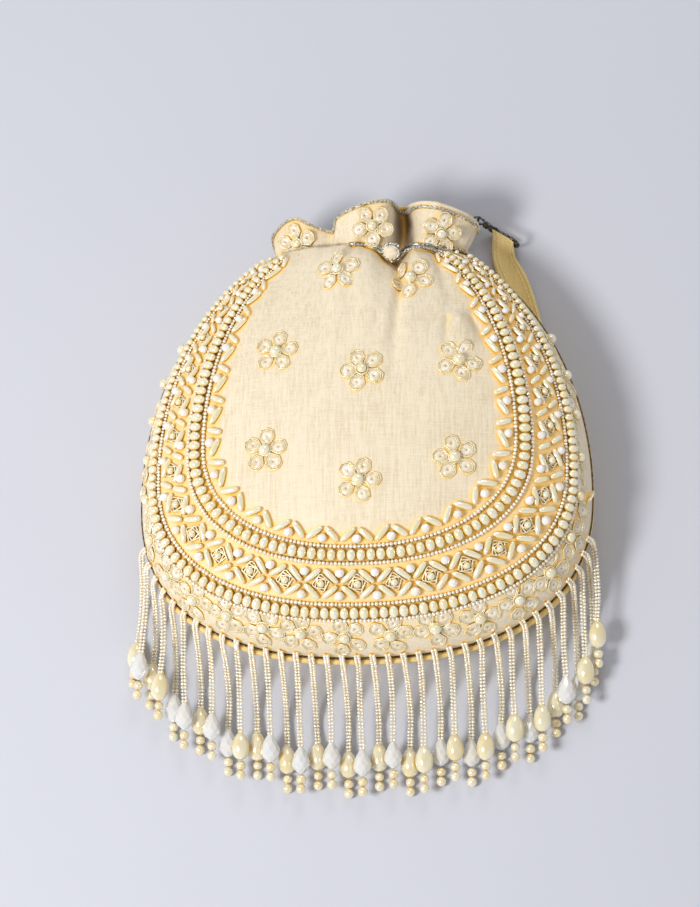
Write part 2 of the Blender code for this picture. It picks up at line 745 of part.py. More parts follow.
def make_fringe():
    places = fringe_roots()
    for section in range(FRINGE_SECTIONS):
        name = f"fringe_{section + 1}"
        members = range(section * STRANDS_IN_SECTION, (section + 1) * STRANDS_IN_SECTION)
        heading = []
        for i in members:
            root, outward = places[i]
            heading.append(root - outward * HEADING_INSET + Vector((0, 0, SEAM_Z)))
        ends = (heading[0] - heading[1], heading[-1] - heading[-2])
        heading[0] = heading[0] + ends[0].normalized() * 1.2 * MM
        heading[-1] = heading[-1] + ends[1].normalized() * 1.2 * MM
        thread = curve_to_mesh(bead_curve(name, heading, [HEADING_RADIUS] * len(heading)), name)
        fringe = add_object(name, thread, SEED_PEARL, 0.3)
        strands = []
        for i in members:
            points, radii = strand_line(i, places)
            strands.append(curve_to_mesh(bead_curve(f"strand_{i}", points, radii), f"strand_{i}"))
        combine(fringe, merge_meshes(strands, "strands"))


# Chain, snap hook and strap

def hook_point(along, up):
    """A point of the hook's plane: along its length from the eye, up from the bar."""
    direction = Vector((cos(HOOK_ANGLE), sin(HOOK_ANGLE), 0))
    eye = Vector((HOOK_EYE.x, HOOK_EYE.y, HOOK_BAR_Z))
    return eye + direction * along + Vector((0, 0, up))


def turned(point, direction):
    return Matrix.Translation(point) @ direction.to_track_quat("Z", "Y").to_matrix().to_4x4()


def ring_mesh(name, centre, axis):
    rings = []
    around = 12
    sides = 4
    frame = turned(centre, axis)
    for i in range(around):
        turn = 2 * pi * i / around
        out = Vector((cos(turn), sin(turn), 0))
        section = []
        for j in range(sides):
            tilt = 2 * pi * j / sides
            spot = out * (RING_RADIUS + RING_WIRE * cos(tilt)) + Vector((0, 0, RING_WIRE * sin(tilt)))
            section.append(frame @ spot)
        rings.append(section)
    return ribbon(name, rings, cyclic=True)


def chain_spots():
    """Ring centres from the frill's eyelet to the hook's eye, with each ring's axis."""
    share = eyelet_share()
    eyelet = frill_seat(EYELET_ANGLE, share, -FRILL_WALL / 2)
    out_way = (frill_point(EYELET_ANGLE, 1) - frill_point(EYELET_ANGLE, 0)).normalized()
    first = eyelet + out_way * RING_RADIUS
    run = hook_point(0, HOOK_HEIGHT / 2) - first
    way = run.normalized()
    rim_way = out_way.cross(frill_normal(EYELET_ANGLE, share)).normalized()
    hook_way = hook_point(1, 0) - hook_point(0, 0)
    flat_axis = way.cross(hook_way).normalized()
    axes = [rim_way, flat_axis, way.cross(flat_axis), flat_axis]
    return [(first + run * i / RING_COUNT, axes[i]) for i in range(RING_COUNT + 1)]


def make_chain():
    spots = chain_spots()
    for i in range(RING_COUNT):
        name = f"chain_ring_{i + 1}"
        centre, axis = spots[i]
        add_object(name, ring_mesh(name, centre, axis), DARK_METAL, 0.35, 1.0)


def make_hook():
    """Claw body: eye, barrel and the bar that turns up into the nose. The gate closes it above."""
    middle = HOOK_HEIGHT / 2
    barrel_start = RING_RADIUS + RING_WIRE * 0.5
    barrel_end = barrel_start + HOOK_BARREL_LENGTH
    tip = HOOK_LENGTH
    bar = [
        (barrel_end - 1.2 * MM, middle - 0.5 * MM),
        (barrel_end + 0.3 * MM, middle * 0.35),
        (barrel_end + 1.3 * MM, 0),
        (tip - HOOK_TIP_BEND, 0),
        (tip - 0.9 * MM, middle * 0.22),
        (tip, middle),
        (tip - 0.6 * MM, middle * 1.55),
        (tip - 2.2 * MM, HOOK_HEIGHT),
        (tip - 3.4 * MM, HOOK_HEIGHT),
    ]
    points = [hook_point(along, up) for along, up in bar]
    claw = curve_to_mesh(bead_curve("claw_body", points, [HOOK_WIRE] * len(points), sides=6), "claw_body")
    hook = add_object("claw_body", claw, DARK_METAL, 0.35, 1.0)
    direction = hook_point(1, 0) - hook_point(0, 0)
    barrel = bmesh.new()
    bmesh.ops.create_cone(
        barrel, cap_ends=True, segments=12, radius1=HOOK_BARREL_RADIUS, radius2=HOOK_BARREL_RADIUS * 0.8,
        depth=HOOK_BARREL_LENGTH, matrix=turned(hook_point((barrel_start + barrel_end) / 2, middle), direction),
    )
    combine(hook, mesh_from(barrel, "barrel", smooth=False))
    combine(hook, ring_mesh("eye", *chain_spots()[-1]))


def make_gate():
    """The gate turns on a pin at the barrel's shoulder, just above it."""
    middle = HOOK_HEIGHT / 2
    barrel_end = RING_RADIUS + RING_WIRE * 0.5 + HOOK_BARREL_LENGTH
    pivot = hook_point(barrel_end - 0.8 * MM, middle + HOOK_BARREL_RADIUS + GATE_RADIUS + SEAT_GAP)
    nose = hook_point(HOOK_LENGTH - 3.4 * MM, HOOK_HEIGHT)
    run = nose - pivot
    way = run.normalized()
    end = nose - way * (SEAT_GAP + 0.15 * MM)
    empty = bpy.data.objects.new("gate_pivot", None)
    bpy.data.collections["potli_bag"].objects.link(empty)
    empty.location = pivot
    points = [(pivot - way * 0.9 * MM) - pivot, Vector((0, 0, 0)), (end - pivot) * 0.5, end - pivot]
    radii = [GATE_RADIUS * 0.7, GATE_RADIUS, GATE_RADIUS, GATE_RADIUS * 0.9]
    gate = add_object("claw_gate", bead_curve("claw_gate", points, radii, sides=6), DARK_METAL, 0.35, 1.0)
    gate.parent = empty


def smooth_route(corners, steps=2):
    """Points on a smooth curve through the corners."""
    padded = [corners[0] * 2 - corners[1], *corners, corners[-1] * 2 - corners[-2]]
    result = []
    for k in range(1, len(padded) - 2):
        a, b, c, d = padded[k - 1:k + 3]
        for i in range(steps):
            t = i / steps
            result.append(0.5 * (2 * b + (c - a) * t + (2 * a - 5 * b + 4 * c - d) * t * t
                                 + (3 * b - a - 3 * c + d) * t ** 3))
    result.append(corners[-1])
    return result


def make_strap():
    """One band, folded round the hook's bar at one end and on itself at the other."""
    fold_along = HOOK_LENGTH - HOOK_TIP_BEND - SEAT_GAP - STRAP_WIDTH / 2
    fold_centre = hook_point(fold_along, 0)
    plan = [Vector((fold_centre.x, fold_centre.y, 0))] + [Vector((x, y, 0)) for x, y in STRAP_ROUTE]
    line = smooth_route(plan)
    bar_way = (hook_point(1, 0) - hook_point(0, 0)).normalized()
    count = len(line)

    def across(i):
        ahead = (line[min(i + 1, count - 1)] - line[max(i - 1, 0)]).normalized()
        square = Vector((-ahead.y, ahead.x, 0))
        turn = smooth_step(i / 4)
        return bar_way.lerp(square, turn).normalized()

    low_z = HOOK_BAR_Z - STRAP_FOLD - STRAP_WALL / 2
    high_z = HOOK_BAR_Z + STRAP_FOLD + STRAP_WALL / 2
    far_high = low_z + STRAP_WALL + STRAP_LAYER_GAP
    path = [(line[i], low_z, across(i)) for i in range(count)]
    ahead = (line[-1] - line[-2]).normalized()
    bulge = (STRAP_LAYER_GAP + STRAP_WALL) / 2
    path.append((line[-1] + ahead * bulge, (low_z + far_high) / 2, across(count - 1)))
    for i in range(count - 1, -1, -1):
        share = smooth_step(i / 6)
        path.append((line[i], high_z + (far_high - high_z) * share, across(i)))
    back = (line[0] - line[1]).normalized()
    back = (back - bar_way * back.dot(bar_way)).normalized()
    reach = STRAP_FOLD + STRAP_WALL / 2
    for turn in (45, 90, 135):
        angle = radians(90 - turn)
        path.append((line[0] + back * reach * cos(angle), HOOK_BAR_Z + reach * sin(angle), bar_way))
    sections = []
    spots = [Vector((point.x, point.y, z)) for point, z, side in path]
    for i, (point, z, side) in enumerate(path):
        way = (spots[(i + 1) % len(spots)] - spots[i - 1]).normalized()
        normal = side.cross(way).normalized() * STRAP_WALL / 2
        half = side * STRAP_WIDTH / 2
        spot = spots[i]
        sections.append([spot + half + normal, spot - half + normal, spot - half - normal, spot + half - normal])
    add_object("wrist_strap", ribbon("wrist_strap", sections, cyclic=True), TAN_SILK, 0.7)


def main():
    clear_scene()
    make_panels()
    make_lining()
    make_frill()
    make_lace()
    make_drawstring()
    make_piping()
    make_border()
    make_flowers()
    make_fringe()
    make_chain()
    make_hook()
    make_gate()
    make_strap()


main()
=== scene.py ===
# Potli bag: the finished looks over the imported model. Places are worked out in millimetres and
# become metres when a mesh is made. The bag lies on its back, X to its right, +Y towards its mouth.

from math import acos, atan2, cos, pi, radians, sin, sqrt

import bmesh
import bpy
import numpy as np
from mathutils import Matrix, Vector


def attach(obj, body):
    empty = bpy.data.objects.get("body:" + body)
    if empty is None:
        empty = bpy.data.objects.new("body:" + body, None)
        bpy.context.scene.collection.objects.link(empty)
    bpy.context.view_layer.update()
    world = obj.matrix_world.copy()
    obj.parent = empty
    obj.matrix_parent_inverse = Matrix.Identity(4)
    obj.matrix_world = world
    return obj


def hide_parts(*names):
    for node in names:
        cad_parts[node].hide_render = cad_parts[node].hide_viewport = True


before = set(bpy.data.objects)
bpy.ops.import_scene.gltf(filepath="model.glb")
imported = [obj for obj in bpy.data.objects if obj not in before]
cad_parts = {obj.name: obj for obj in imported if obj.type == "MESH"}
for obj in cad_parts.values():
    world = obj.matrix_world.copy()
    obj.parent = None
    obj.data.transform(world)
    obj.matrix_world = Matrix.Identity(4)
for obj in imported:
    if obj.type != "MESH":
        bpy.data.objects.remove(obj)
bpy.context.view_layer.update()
mm = 0.001


# Camera

view = {
    "direction": (0.113, -0.25, 0.96),
    "target": (-7.1, 7.1, 24.0),
    "distance": 1600.0,
    "frameHeight": 399.1,
}


def makeCamera():
    back = Vector(view["direction"]).normalized()
    right = Vector((0, 1, 0)).cross(back).normalized()
    up = back.cross(right)
    camera = bpy.data.objects.new("camera", bpy.data.cameras.new("camera"))
    bpy.context.scene.collection.objects.link(camera)
    turn = Matrix((right, up, back)).transposed().to_4x4()
    place = Vector(view["target"]) + back * view["distance"]
    camera.matrix_world = Matrix.Translation(place * mm) @ turn
    camera.data.sensor_width = 36
    camera.data.sensor_fit = "VERTICAL"
    camera.data.sensor_height = 36
    camera.data.lens = 36 * view["distance"] / view["frameHeight"]
    bpy.context.scene.camera = camera


makeCamera()
print("camera ready")


# Nodes for materials and for geometry

class Wire:  # a socket that can be used in sums
    def __init__(self, nodes, socket):
        self.nodes = nodes
        self.socket = socket

    def sum(self, operation, first, second):
        return self.nodes.add("ShaderNodeMath", {"operation": operation}, {0: first, 1: second})

    def __add__(self, other):
        return self.sum("ADD", self, other)

    def __radd__(self, other):
        return self.sum("ADD", other, self)

    def __sub__(self, other):
        return self.sum("SUBTRACT", self, other)

    def __rsub__(self, other):
        return self.sum("SUBTRACT", other, self)

    def __mul__(self, other):
        return self.sum("MULTIPLY", self, other)

    def __rmul__(self, other):
        return self.sum("MULTIPLY", other, self)

    def __pow__(self, other):
        return self.sum("POWER", self, other)


class Nodes:
    def __init__(self, tree):
        self.tree = tree

    def add(self, kind, settings=None, inputs=None, out=0):
        node = self.tree.nodes.new(kind)
        for name, value in (settings or {}).items():
            if name == "stops":
                for i, (place, colour) in enumerate(value):
                    stops = node.color_ramp.elements
                    stop = stops[i] if i < 2 else stops.new(place)
                    stop.position = place
                    stop.color = (*colour, 1)
            else:
                setattr(node, name, value)
        for key, value in (inputs or {}).items():
            socket = node.inputs[key]
            if isinstance(value, Wire):
                self.tree.links.new(value.socket, socket)
            elif socket.type == "RGBA":
                socket.default_value = (*value, 1)
            else:
                socket.default_value = value
        return Wire(self, node.outputs[out]) if len(node.outputs) else None


class Finish(Nodes):
    def __init__(self, name):
        self.material = bpy.data.materials.new(name)
        self.material.use_nodes = True
        super().__init__(self.material.node_tree)
        self.tree.nodes.clear()

    def place(self, scale=(1, 1, 1), turn=(0, 0, 0)):  # the point on the object, in millimetres times the scale
        spot = self.add("ShaderNodeTexCoord", out="Object")
        scale = tuple(part / mm for part in scale)
        return self.add("ShaderNodeMapping", None, {"Vector": spot, "Scale": scale, "Rotation": turn})

    def noise(self, scale, size=1.0, detail=3.0, rough=0.55, turn=(0, 0, 0)):
        inputs = {"Vector": self.place(scale, turn), "Scale": size, "Detail": detail, "Roughness": rough}
        return self.add("ShaderNodeTexNoise", None, inputs)

    def ramp(self, factor, *stops):
        return self.add("ShaderNodeValToRGB", {"stops": stops}, {0: factor})

    def blend(self, factor, first, second, way="MIX"):
        settings = {"data_type": "RGBA", "blend_type": way}
        return self.add("ShaderNodeMix", settings, {0: factor, 6: first, 7: second}, 2)

    # painted shade: this mask lays darker or golden colour where other parts crowd a surface
    def hollows(self, reach):  # 0 in the open, 1 where other things crowd the surface
        open_ = self.add("ShaderNodeAmbientOcclusion", {"samples": 8}, {"Distance": reach * mm}, 1)
        return 1 - open_

    def spanned(self, value, low, high):  # 0 up to low, 1 from high
        return self.add("ShaderNodeMapRange", None, {0: value, 1: low, 2: high})

    def bump(self, height, strength, depth, below=None):
        inputs = {"Height": height, "Strength": strength, "Distance": depth * mm}
        if below:
            inputs["Normal"] = below
        return self.add("ShaderNodeBump", None, inputs)

    def done(self, **sockets):
        inputs = {}
        for name, value in sockets.items():
            words = "".join(" " + c if c.isupper() else c for c in name)
            inputs[(words[:1].upper() + words[1:]).replace("Ior", "IOR")] = value
        shader = self.add("ShaderNodeBsdfPrincipled", None, inputs)
        self.add("ShaderNodeOutputMaterial", None, {"Surface": shader})
        return self.material


def paint(red, green, blue):  # a colour as it is seen on screen, 0 to 255
    def part(value):
        value /= 255
        return value / 12.92 if value <= 0.04045 else ((value + 0.055) / 1.055) ** 2.4
    return part(red), part(green), part(blue)


# Finishes

def rawSilk(name, light, dark, shadeTint, slub=0.5):
    silk = Finish(name)
    slubs = silk.noise((0.9, 0.05, 0.9), 1.0, 4.0, 0.6)
    threads = silk.noise((4.0, 0.25, 4.0), 1.0, 2.0)
    cross = silk.noise((0.12, 2.6, 0.5), 1.0, 2.0)
    cloud = silk.noise((0.03, 0.03, 0.03), 1.0, 2.0)
    weave = slubs * slub + threads * 0.35 + cross * 0.3
    tone = silk.ramp(weave * 0.8 + cloud * 0.2, (0.4, dark), (0.6, light))
    # painted shade: near blends the silk to its painted-shade tint where other parts crowd it, and deep lays painted
    # dark brown shade in wide hollows such as the frill's gap
    near = silk.spanned(silk.hollows(3.4), 0.16, 0.6)
    wide = silk.hollows(16.0)
    deep = silk.spanned(wide, 0.56, 0.88)
    colour = silk.blend(deep, silk.blend(near, tone, shadeTint), paint(104, 64, 24))
    # painted glow: the silk gives off golden light in its near hollows, standing in for light bounced off the beads
    paintedGlow = silk.blend(near * (1 - silk.spanned(wide, 0.6, 0.85)), (0, 0, 0), paint(255, 190, 50))
    normal = silk.bump(weave, 0.6, 0.3)
    return silk.done(baseColor=colour, roughness=0.5 + threads * 0.16, normal=normal, sheenWeight=0.2,
                     emissionColor=paintedGlow, emissionStrength=0.3)


def pearlCoat(name, light, deep, shadeTint, reach=2.2):
    pearl = Finish(name)
    cloud = pearl.noise((0.12, 0.12, 0.12), 1.0, 1.0)
    tone = pearl.ramp(cloud, (0.4, deep), (0.6, light))
    # painted shade: the pearl turns to its painted-shade tint where other parts crowd it
    colour = pearl.blend(pearl.spanned(pearl.hollows(reach), 0.06, 0.62), tone, shadeTint)
    return pearl.done(baseColor=colour, metallic=0.2, roughness=0.17, specularIorLevel=0.8, coatWeight=1.0,
                      coatRoughness=0.06, coatIor=2.0)


def metalThread(name, light, dark, metallic=0.85, pitch=1.6):
    thread = Finish(name)
    coils = thread.noise((pitch, pitch, pitch), 1.0, 2.0)
    tone = thread.ramp(coils, (0.4, dark), (0.58, light))
    normal = thread.bump(coils, 0.5, 0.15)
    return thread.done(baseColor=tone, metallic=metallic, roughness=0.32, normal=normal)


def makeFinishes():
    # painted shade: the third colour given to each silk and pearl finish is laid in where other parts crowd the surface
    shadeGold = paint(255, 212, 96)
    shadeHoney = paint(250, 206, 88)
    made = {
        "silk": rawSilk("rawSilk", paint(244, 231, 206), paint(218, 201, 166), shadeGold),
        "tanSilk": rawSilk("tanSilk", paint(250, 222, 150), paint(230, 200, 126), paint(186, 142, 66)),
        "satin": rawSilk("liningSatin", paint(206, 186, 146), paint(190, 166, 124), paint(96, 66, 34), 0.2),
        "pearl": pearlCoat("pearlCoat", paint(255, 252, 228), paint(255, 246, 206), shadeHoney, 2.6),
        "dropPearl": pearlCoat("dropPearlCoat", paint(255, 248, 218), paint(252, 236, 188), paint(240, 200, 108)),
        "seed": pearlCoat("seedBeadGlaze", paint(255, 254, 246), paint(255, 250, 234), paint(255, 230, 168), 1.2),
        "silverThread": metalThread("silverThread", paint(252, 248, 232), paint(160, 154, 134), 0.3, 1.1),
        "cordThread": metalThread("cordThread", paint(232, 230, 222), paint(92, 88, 80), 0.55),
        "goldWire": metalThread("goldSilverWire", paint(255, 252, 232), paint(236, 208, 142), 0.2),
        "stitchThread": metalThread("stitchThread", paint(255, 244, 196), paint(244, 222, 152), 0.0),
        "seamThread": metalThread("seamThread", paint(150, 134, 100), paint(54, 44, 34), 0.5),
    }
    sequin = Finish("clearSequin")
    shimmer = sequin.noise((0.25, 0.25, 0.25))
    tone = sequin.ramp(shimmer, (0.36, paint(226, 206, 168)), (0.5, paint(242, 228, 202)), (0.64, paint(253, 246, 234)))
    made["sequin"] = sequin.done(baseColor=tone, roughness=0.16, coatWeight=0.6, specularIorLevel=0.6)
    crystal = Finish("milkCrystal")
    fire = crystal.noise((0.3, 0.3, 0.3), 1.0, 1.0)
    tone = crystal.ramp(fire, (0.36, paint(252, 240, 226)), (0.5, paint(255, 252, 248)), (0.64, paint(246, 246, 250)))
    made["crystal"] = crystal.done(baseColor=tone, roughness=0.05, coatWeight=1.0, coatIor=1.7)
    drop = Finish("clearCrystal")
    fire = drop.noise((0.2, 0.2, 0.2), 1.0, 1.0)
    tone = drop.ramp(fire, (0.35, paint(252, 250, 246)), (0.5, paint(255, 255, 255)), (0.65, paint(246, 250, 255)))
    made["dropCrystal"] = drop.done(baseColor=tone, roughness=0.03, transmissionWeight=0.2, ior=1.5, coatWeight=1.0,
                                    coatIor=1.7)
    metal = Finish("darkPlating")
    wear = metal.noise((0.5, 0.5, 0.5), 1.0, 4.0)
    tone = metal.ramp(wear, (0.42, paint(60, 60, 62)), (0.7, paint(150, 148, 142)))
    made["darkMetal"] = metal.done(baseColor=tone, metallic=1.0, roughness=0.2 + wear * 0.14)
    return made


finishes = makeFinishes()
print("finishes ready")


# Meshes

def addObject(name, mesh, finish):
    made = bpy.data.objects.new(name, mesh)
    bpy.context.scene.collection.objects.link(made)
    mesh.materials.clear()
    mesh.materials.append(finishes[finish])
    return made


def meshFrom(name, points, faces, smooth=True, outward=True):
    mesh = bpy.data.meshes.new(name)
    mesh.from_pydata([tuple(float(part) * mm for part in point) for point in points], [], faces)
    mesh.validate()
    if outward:
        shape = bmesh.new()
        shape.from_mesh(mesh)
        bmesh.ops.recalc_face_normals(shape, faces=shape.faces)
        shape.to_mesh(mesh)
        shape.free()
    if smooth:
        mesh.shade_smooth()
    return mesh


def gridFaces(rows, columns, closed=False):
    faces = []
    for j in range(rows - 1):
        for i in range(columns if closed else columns - 1):
            k = (i + 1) % columns
            faces.append((j * columns + i, j * columns + k, (j + 1) * columns + k, (j + 1) * columns + i))
    return faces


def tube(name, path, radius, sides=8, closed=False, twist=0.0, flute=0.0, smooth=True, flatten=None):
    # a round tube along a path; twist in turns per millimetre and flute make it a twisted cord
    path = [Vector(point) for point in path]
    count = len(path)
    radii = radius if hasattr(radius, "__len__") else [radius] * count
    points = []
    side = Vector((0, 0, 1))
    run = 0.0
    if closed:
        length = sum((path[(i + 1) % count] - path[i]).length for i in range(count))
        twist = round(twist * length) / length
    for i in range(count):
        if closed:
            ahead = (path[(i + 1) % count] - path[i - 1]).normalized()
        else:
            ahead = (path[min(i + 1, count - 1)] - path[max(i - 1, 0)]).normalized()
        if i:
            run += (path[i] - path[i - 1]).length
        side = side - ahead * side.dot(ahead)
        if side.length < 0.05:
            side = ahead.orthogonal()
        side.normalize()
        if closed:
            side = Vector((0, 0, 1)) - ahead * ahead.z
            side = side.normalized() if side.length > 0.05 else ahead.orthogonal().normalized()
        across = ahead.cross(side)
        for j in range(sides):
            angle = 2 * pi * j / sides
            swell = radii[i] * (1 + flute * cos(2 * (angle - 2 * pi * twist * run)))
            points.append(path[i] + side * swell * cos(angle) + across * swell * sin(angle))
    faces = gridFaces(count, sides, True)
    if closed:
        last = (count - 1) * sides
        faces += [(last + j, last + (j + 1) % sides, (j + 1) % sides, j) for j in range(sides)]
    else:
        faces.append(tuple(range(sides))[::-1])
        faces.append(tuple((count - 1) * sides + j for j in range(sides)))
    return meshFrom(name, points, faces, smooth)


def smoothRoute(corners, steps):
    padded = [corners[0] * 2 - corners[1], *corners, corners[-1] * 2 - corners[-2]]
    result = []
    for k in range(1, len(padded) - 2):
        a, b, c, d = padded[k - 1:k + 3]
        for i in range(steps):
            t = i / steps
            result.append(0.5 * (2 * b + (c - a) * t + (2 * a - 5 * b + 4 * c - d) * t * t
                                 + (3 * b - a - 3 * c + d) * t ** 3))
    result.append(corners[-1])
    return result


def joinMeshes(name, meshes):
    shape = bmesh.new()
    for mesh in meshes:
        shape.from_mesh(mesh)
        bpy.data.meshes.remove(mesh)
    made = bpy.data.meshes.new(name)
    shape.to_mesh(made)
    shape.free()
    made.shade_smooth()
    return made


def turnedShape(name, profile, sides, stagger=False, smooth=True):
    # a solid of revolution about X through (along, radius) pairs whose ends have no radius
    points = [(profile[0][0], 0, 0)]
    for k, (along, radius) in enumerate(profile[1:-1]):
        for j in range(sides):
            angle = 2 * pi * (j + (0.5 if stagger and k % 2 else 0)) / sides
            points.append((along, radius * cos(angle), radius * sin(angle)))
    points.append((profile[-1][0], 0, 0))
    faces = []
    rings = len(profile) - 2
    for j in range(sides):
        k = (j + 1) % sides
        faces.append((0, 1 + k, 1 + j))
        faces.append((len(points) - 1, 1 + (rings - 1) * sides + j, 1 + (rings - 1) * sides + k))
    for r in range(rings - 1):
        low = 1 + r * sides
        high = low + sides
        for j in range(sides):
            k = (j + 1) % sides
            if stagger:
                odd = r % 2
                if odd:
                    faces.append((low + j, low + k, high + k))
                    faces.append((low + j, high + k, high + j))
                else:
                    faces.append((low + j, low + k, high + j))
                    faces.append((low + k, high + k, high + j))
            else:
                faces.append((low + j, low + k, high + k, high + j))
    return meshFrom(name, points, faces, smooth)


def roundBead(name, length, width, height=None, sides=10, rings=6, power=1.0):
    # an oval bead, long along X; a power under 1 makes its ends blunter
    height = height or width
    profile = [(-length / 2, 0)]
    for k in range(1, rings):
        angle = pi * k / rings
        profile.append((-length / 2 * cos(angle), width / 2 * sin(angle) ** power))
    profile.append((length / 2, 0))
    mesh = turnedShape(name, profile, sides)
    for vertex in mesh.vertices:
        vertex.co.z *= height / width
    return mesh


# Geometry node trees: beads strung along a thread, and pieces sewn on at marked places

def groupTree(name, sockets):
    tree = bpy.data.node_groups.new(name, "GeometryNodeTree")
    tree.interface.new_socket("Geometry", in_out="OUTPUT", socket_type="NodeSocketGeometry")
    for title, kind in sockets:
        tree.interface.new_socket(title, in_out="INPUT", socket_type=kind)
    nodes = Nodes(tree)
    start = tree.nodes.new("NodeGroupInput")
    return nodes, {title: Wire(nodes, start.outputs[title]) for title, kind in sockets}


def pieceTurns(nodes, along, up, wobble, seed):
    # X of the piece along the first direction, Z towards the second, with a little wobble about X
    random = nodes.add("FunctionNodeRandomValue", {"data_type": "FLOAT"}, {2: -1.0, 3: 1.0, "Seed": seed}, 1)
    lay = nodes.add("FunctionNodeAlignRotationToVector", {"axis": "X", "pivot_axis": "AUTO"}, {"Vector": along})
    stand = nodes.add("FunctionNodeAlignRotationToVector", {"axis": "Z", "pivot_axis": "X"}, {"Rotation": lay, "Vector": up})
    roll = nodes.add("FunctionNodeAxisAngleToRotation", None, {"Axis": (0, 1, 0), "Angle": random * wobble})
    return nodes.add("FunctionNodeRotateRotation", {"rotation_space": "LOCAL"}, {"Rotation": stand, "Rotate By": roll})


def pieceSizes(nodes, size, change, seed):
    low = nodes.add("ShaderNodeVectorMath", {"operation": "SCALE"}, {0: size, "Scale": 1 - change})
    high = nodes.add("ShaderNodeVectorMath", {"operation": "SCALE"}, {0: size, "Scale": 1 + change})
    random = nodes.add("FunctionNodeRandomValue", {"data_type": "FLOAT"}, {2: 0.0, 3: 1.0, "Seed": seed + 7}, 1)
    return nodes.add("ShaderNodeMix", {"data_type": "VECTOR"}, {0: random, 4: low, 5: high}, 1)


def named(nodes, name, kind="FLOAT_VECTOR"):
    return nodes.add("GeometryNodeInputNamedAttribute", {"data_type": kind}, {"Name": name})


def finishTree(nodes, instances, material):
    real = nodes.add("GeometryNodeRealizeInstances", None, {0: instances})
    done = nodes.add("GeometryNodeSetMaterial", None, {"Geometry": real, "Material": material})
    end = nodes.tree.nodes.new("NodeGroupOutput")
    nodes.tree.links.new(done.socket, end.inputs["Geometry"])
    return nodes.tree


def makeThreadTree():
    nodes, given = groupTree("beadsOnThread", [
        ("Threads", "NodeSocketGeometry"), ("Bead", "NodeSocketObject"), ("Pitch", "NodeSocketFloat"),
        ("Wobble", "NodeSocketFloat"), ("Size Change", "NodeSocketFloat"), ("Seed", "NodeSocketInt"),
        ("Finish", "NodeSocketMaterial"),
    ])
    line = nodes.add("GeometryNodeMeshToCurve", None, {0: given["Threads"]})
    spots = nodes.add("GeometryNodeResampleCurve", {"mode": "LENGTH"}, {"Curve": line, "Length": given["Pitch"]})
    along = nodes.add("GeometryNodeInputTangent")
    turns = pieceTurns(nodes, along, named(nodes, "up"), given["Wobble"], given["Seed"])
    sizes = pieceSizes(nodes, named(nodes, "size"), given["Size Change"], given["Seed"])
    bead = nodes.add("GeometryNodeObjectInfo", None, {"Object": given["Bead"]}, "Geometry")
    placed = nodes.add("GeometryNodeInstanceOnPoints", None, {"Points": spots, "Instance": bead, "Rotation": turns, "Scale": sizes})
    return finishTree(nodes, placed, given["Finish"])


def makeSewnTree():
    nodes, given = groupTree("piecesSewnOn", [
        ("Places", "NodeSocketGeometry"), ("Piece", "NodeSocketObject"), ("Wobble", "NodeSocketFloat"),
        ("Size Change", "NodeSocketFloat"), ("Seed", "NodeSocketInt"), ("Finish", "NodeSocketMaterial"),
    ])
    turns = pieceTurns(nodes, named(nodes, "along"), named(nodes, "up"), given["Wobble"], given["Seed"])
    sizes = pieceSizes(nodes, named(nodes, "size"), given["Size Change"], given["Seed"])
    piece = nodes.add("GeometryNodeObjectInfo", None, {"Object": given["Piece"]}, "Geometry")
    spots = nodes.add("GeometryNodeMeshToPoints", None, {"Mesh": given["Places"], "Radius": mm})
    placed = nodes.add("GeometryNodeInstanceOnPoints", None, {"Points": spots, "Instance": piece, "Rotation": turns, "Scale": sizes})
    return finishTree(nodes, placed, given["Finish"])


threadTree = makeThreadTree()
sewnTree = makeSewnTree()


def growPiece(name, tree, base, finish, values, smooth=True):
    # runs a tree on a base mesh and keeps the result as a plain mesh
    carrier = addObject(name + "Base", base, finish)
    modifier = carrier.modifiers.new("grow", "NODES")
    modifier.node_group = tree
    for item in tree.interface.items_tree:
        if item.in_out == "INPUT" and item.name in values:
            modifier[item.identifier] = values[item.name]
    carrier.update_tag()
    shown = carrier.evaluated_get(bpy.context.evaluated_depsgraph_get())
    mesh = bpy.data.meshes.new_from_object(shown)
    mesh.name = name
    bpy.data.objects.remove(carrier)
    for extra in list(mesh.attributes):
        if extra.name in ("up", "size", "along"):
            mesh.attributes.remove(mesh.attributes[extra.name])
    for face in mesh.polygons:
        face.use_smooth = smooth
    made = bpy.data.objects.new(name, mesh)
    bpy.context.scene.collection.objects.link(made)
    return made


def giveVectors(mesh, name, vectors):
    made = mesh.attributes.new(name, "FLOAT_VECTOR", "POINT")
    made.data.foreach_set("vector", np.array(vectors, dtype=float).ravel())


def strungBeads(name, threads, bead, finish, pitch, wobble=0.0, change=0.0, seed=1, smooth=True):
    # threads: lists of (point, up, size)
    points = []
    edges = []
    ups = []
    sizes = []
    for thread in threads:
        first = len(points)
        for point, up, size in thread:
            points.append(tuple(float(part) * mm for part in point))
            ups.append(tuple(up))
            sizes.append(tuple(size) if hasattr(size, "__len__") else (size, size, size))
        edges += [(first + i, first + i + 1) for i in range(len(thread) - 1)]
    base = bpy.data.meshes.new(name + "Threads")
    base.from_pydata(points, edges, [])
    giveVectors(base, "up", ups)
    giveVectors(base, "size", sizes)
    pattern = addObject(name + "Bead", bead, finish)
    values = {"Bead": pattern, "Pitch": pitch * mm, "Wobble": wobble, "Size Change": change, "Seed": seed,
              "Finish": finishes[finish]}
    made = growPiece(name, threadTree, base, finish, values, smooth)
    bpy.data.objects.remove(pattern)
    return made


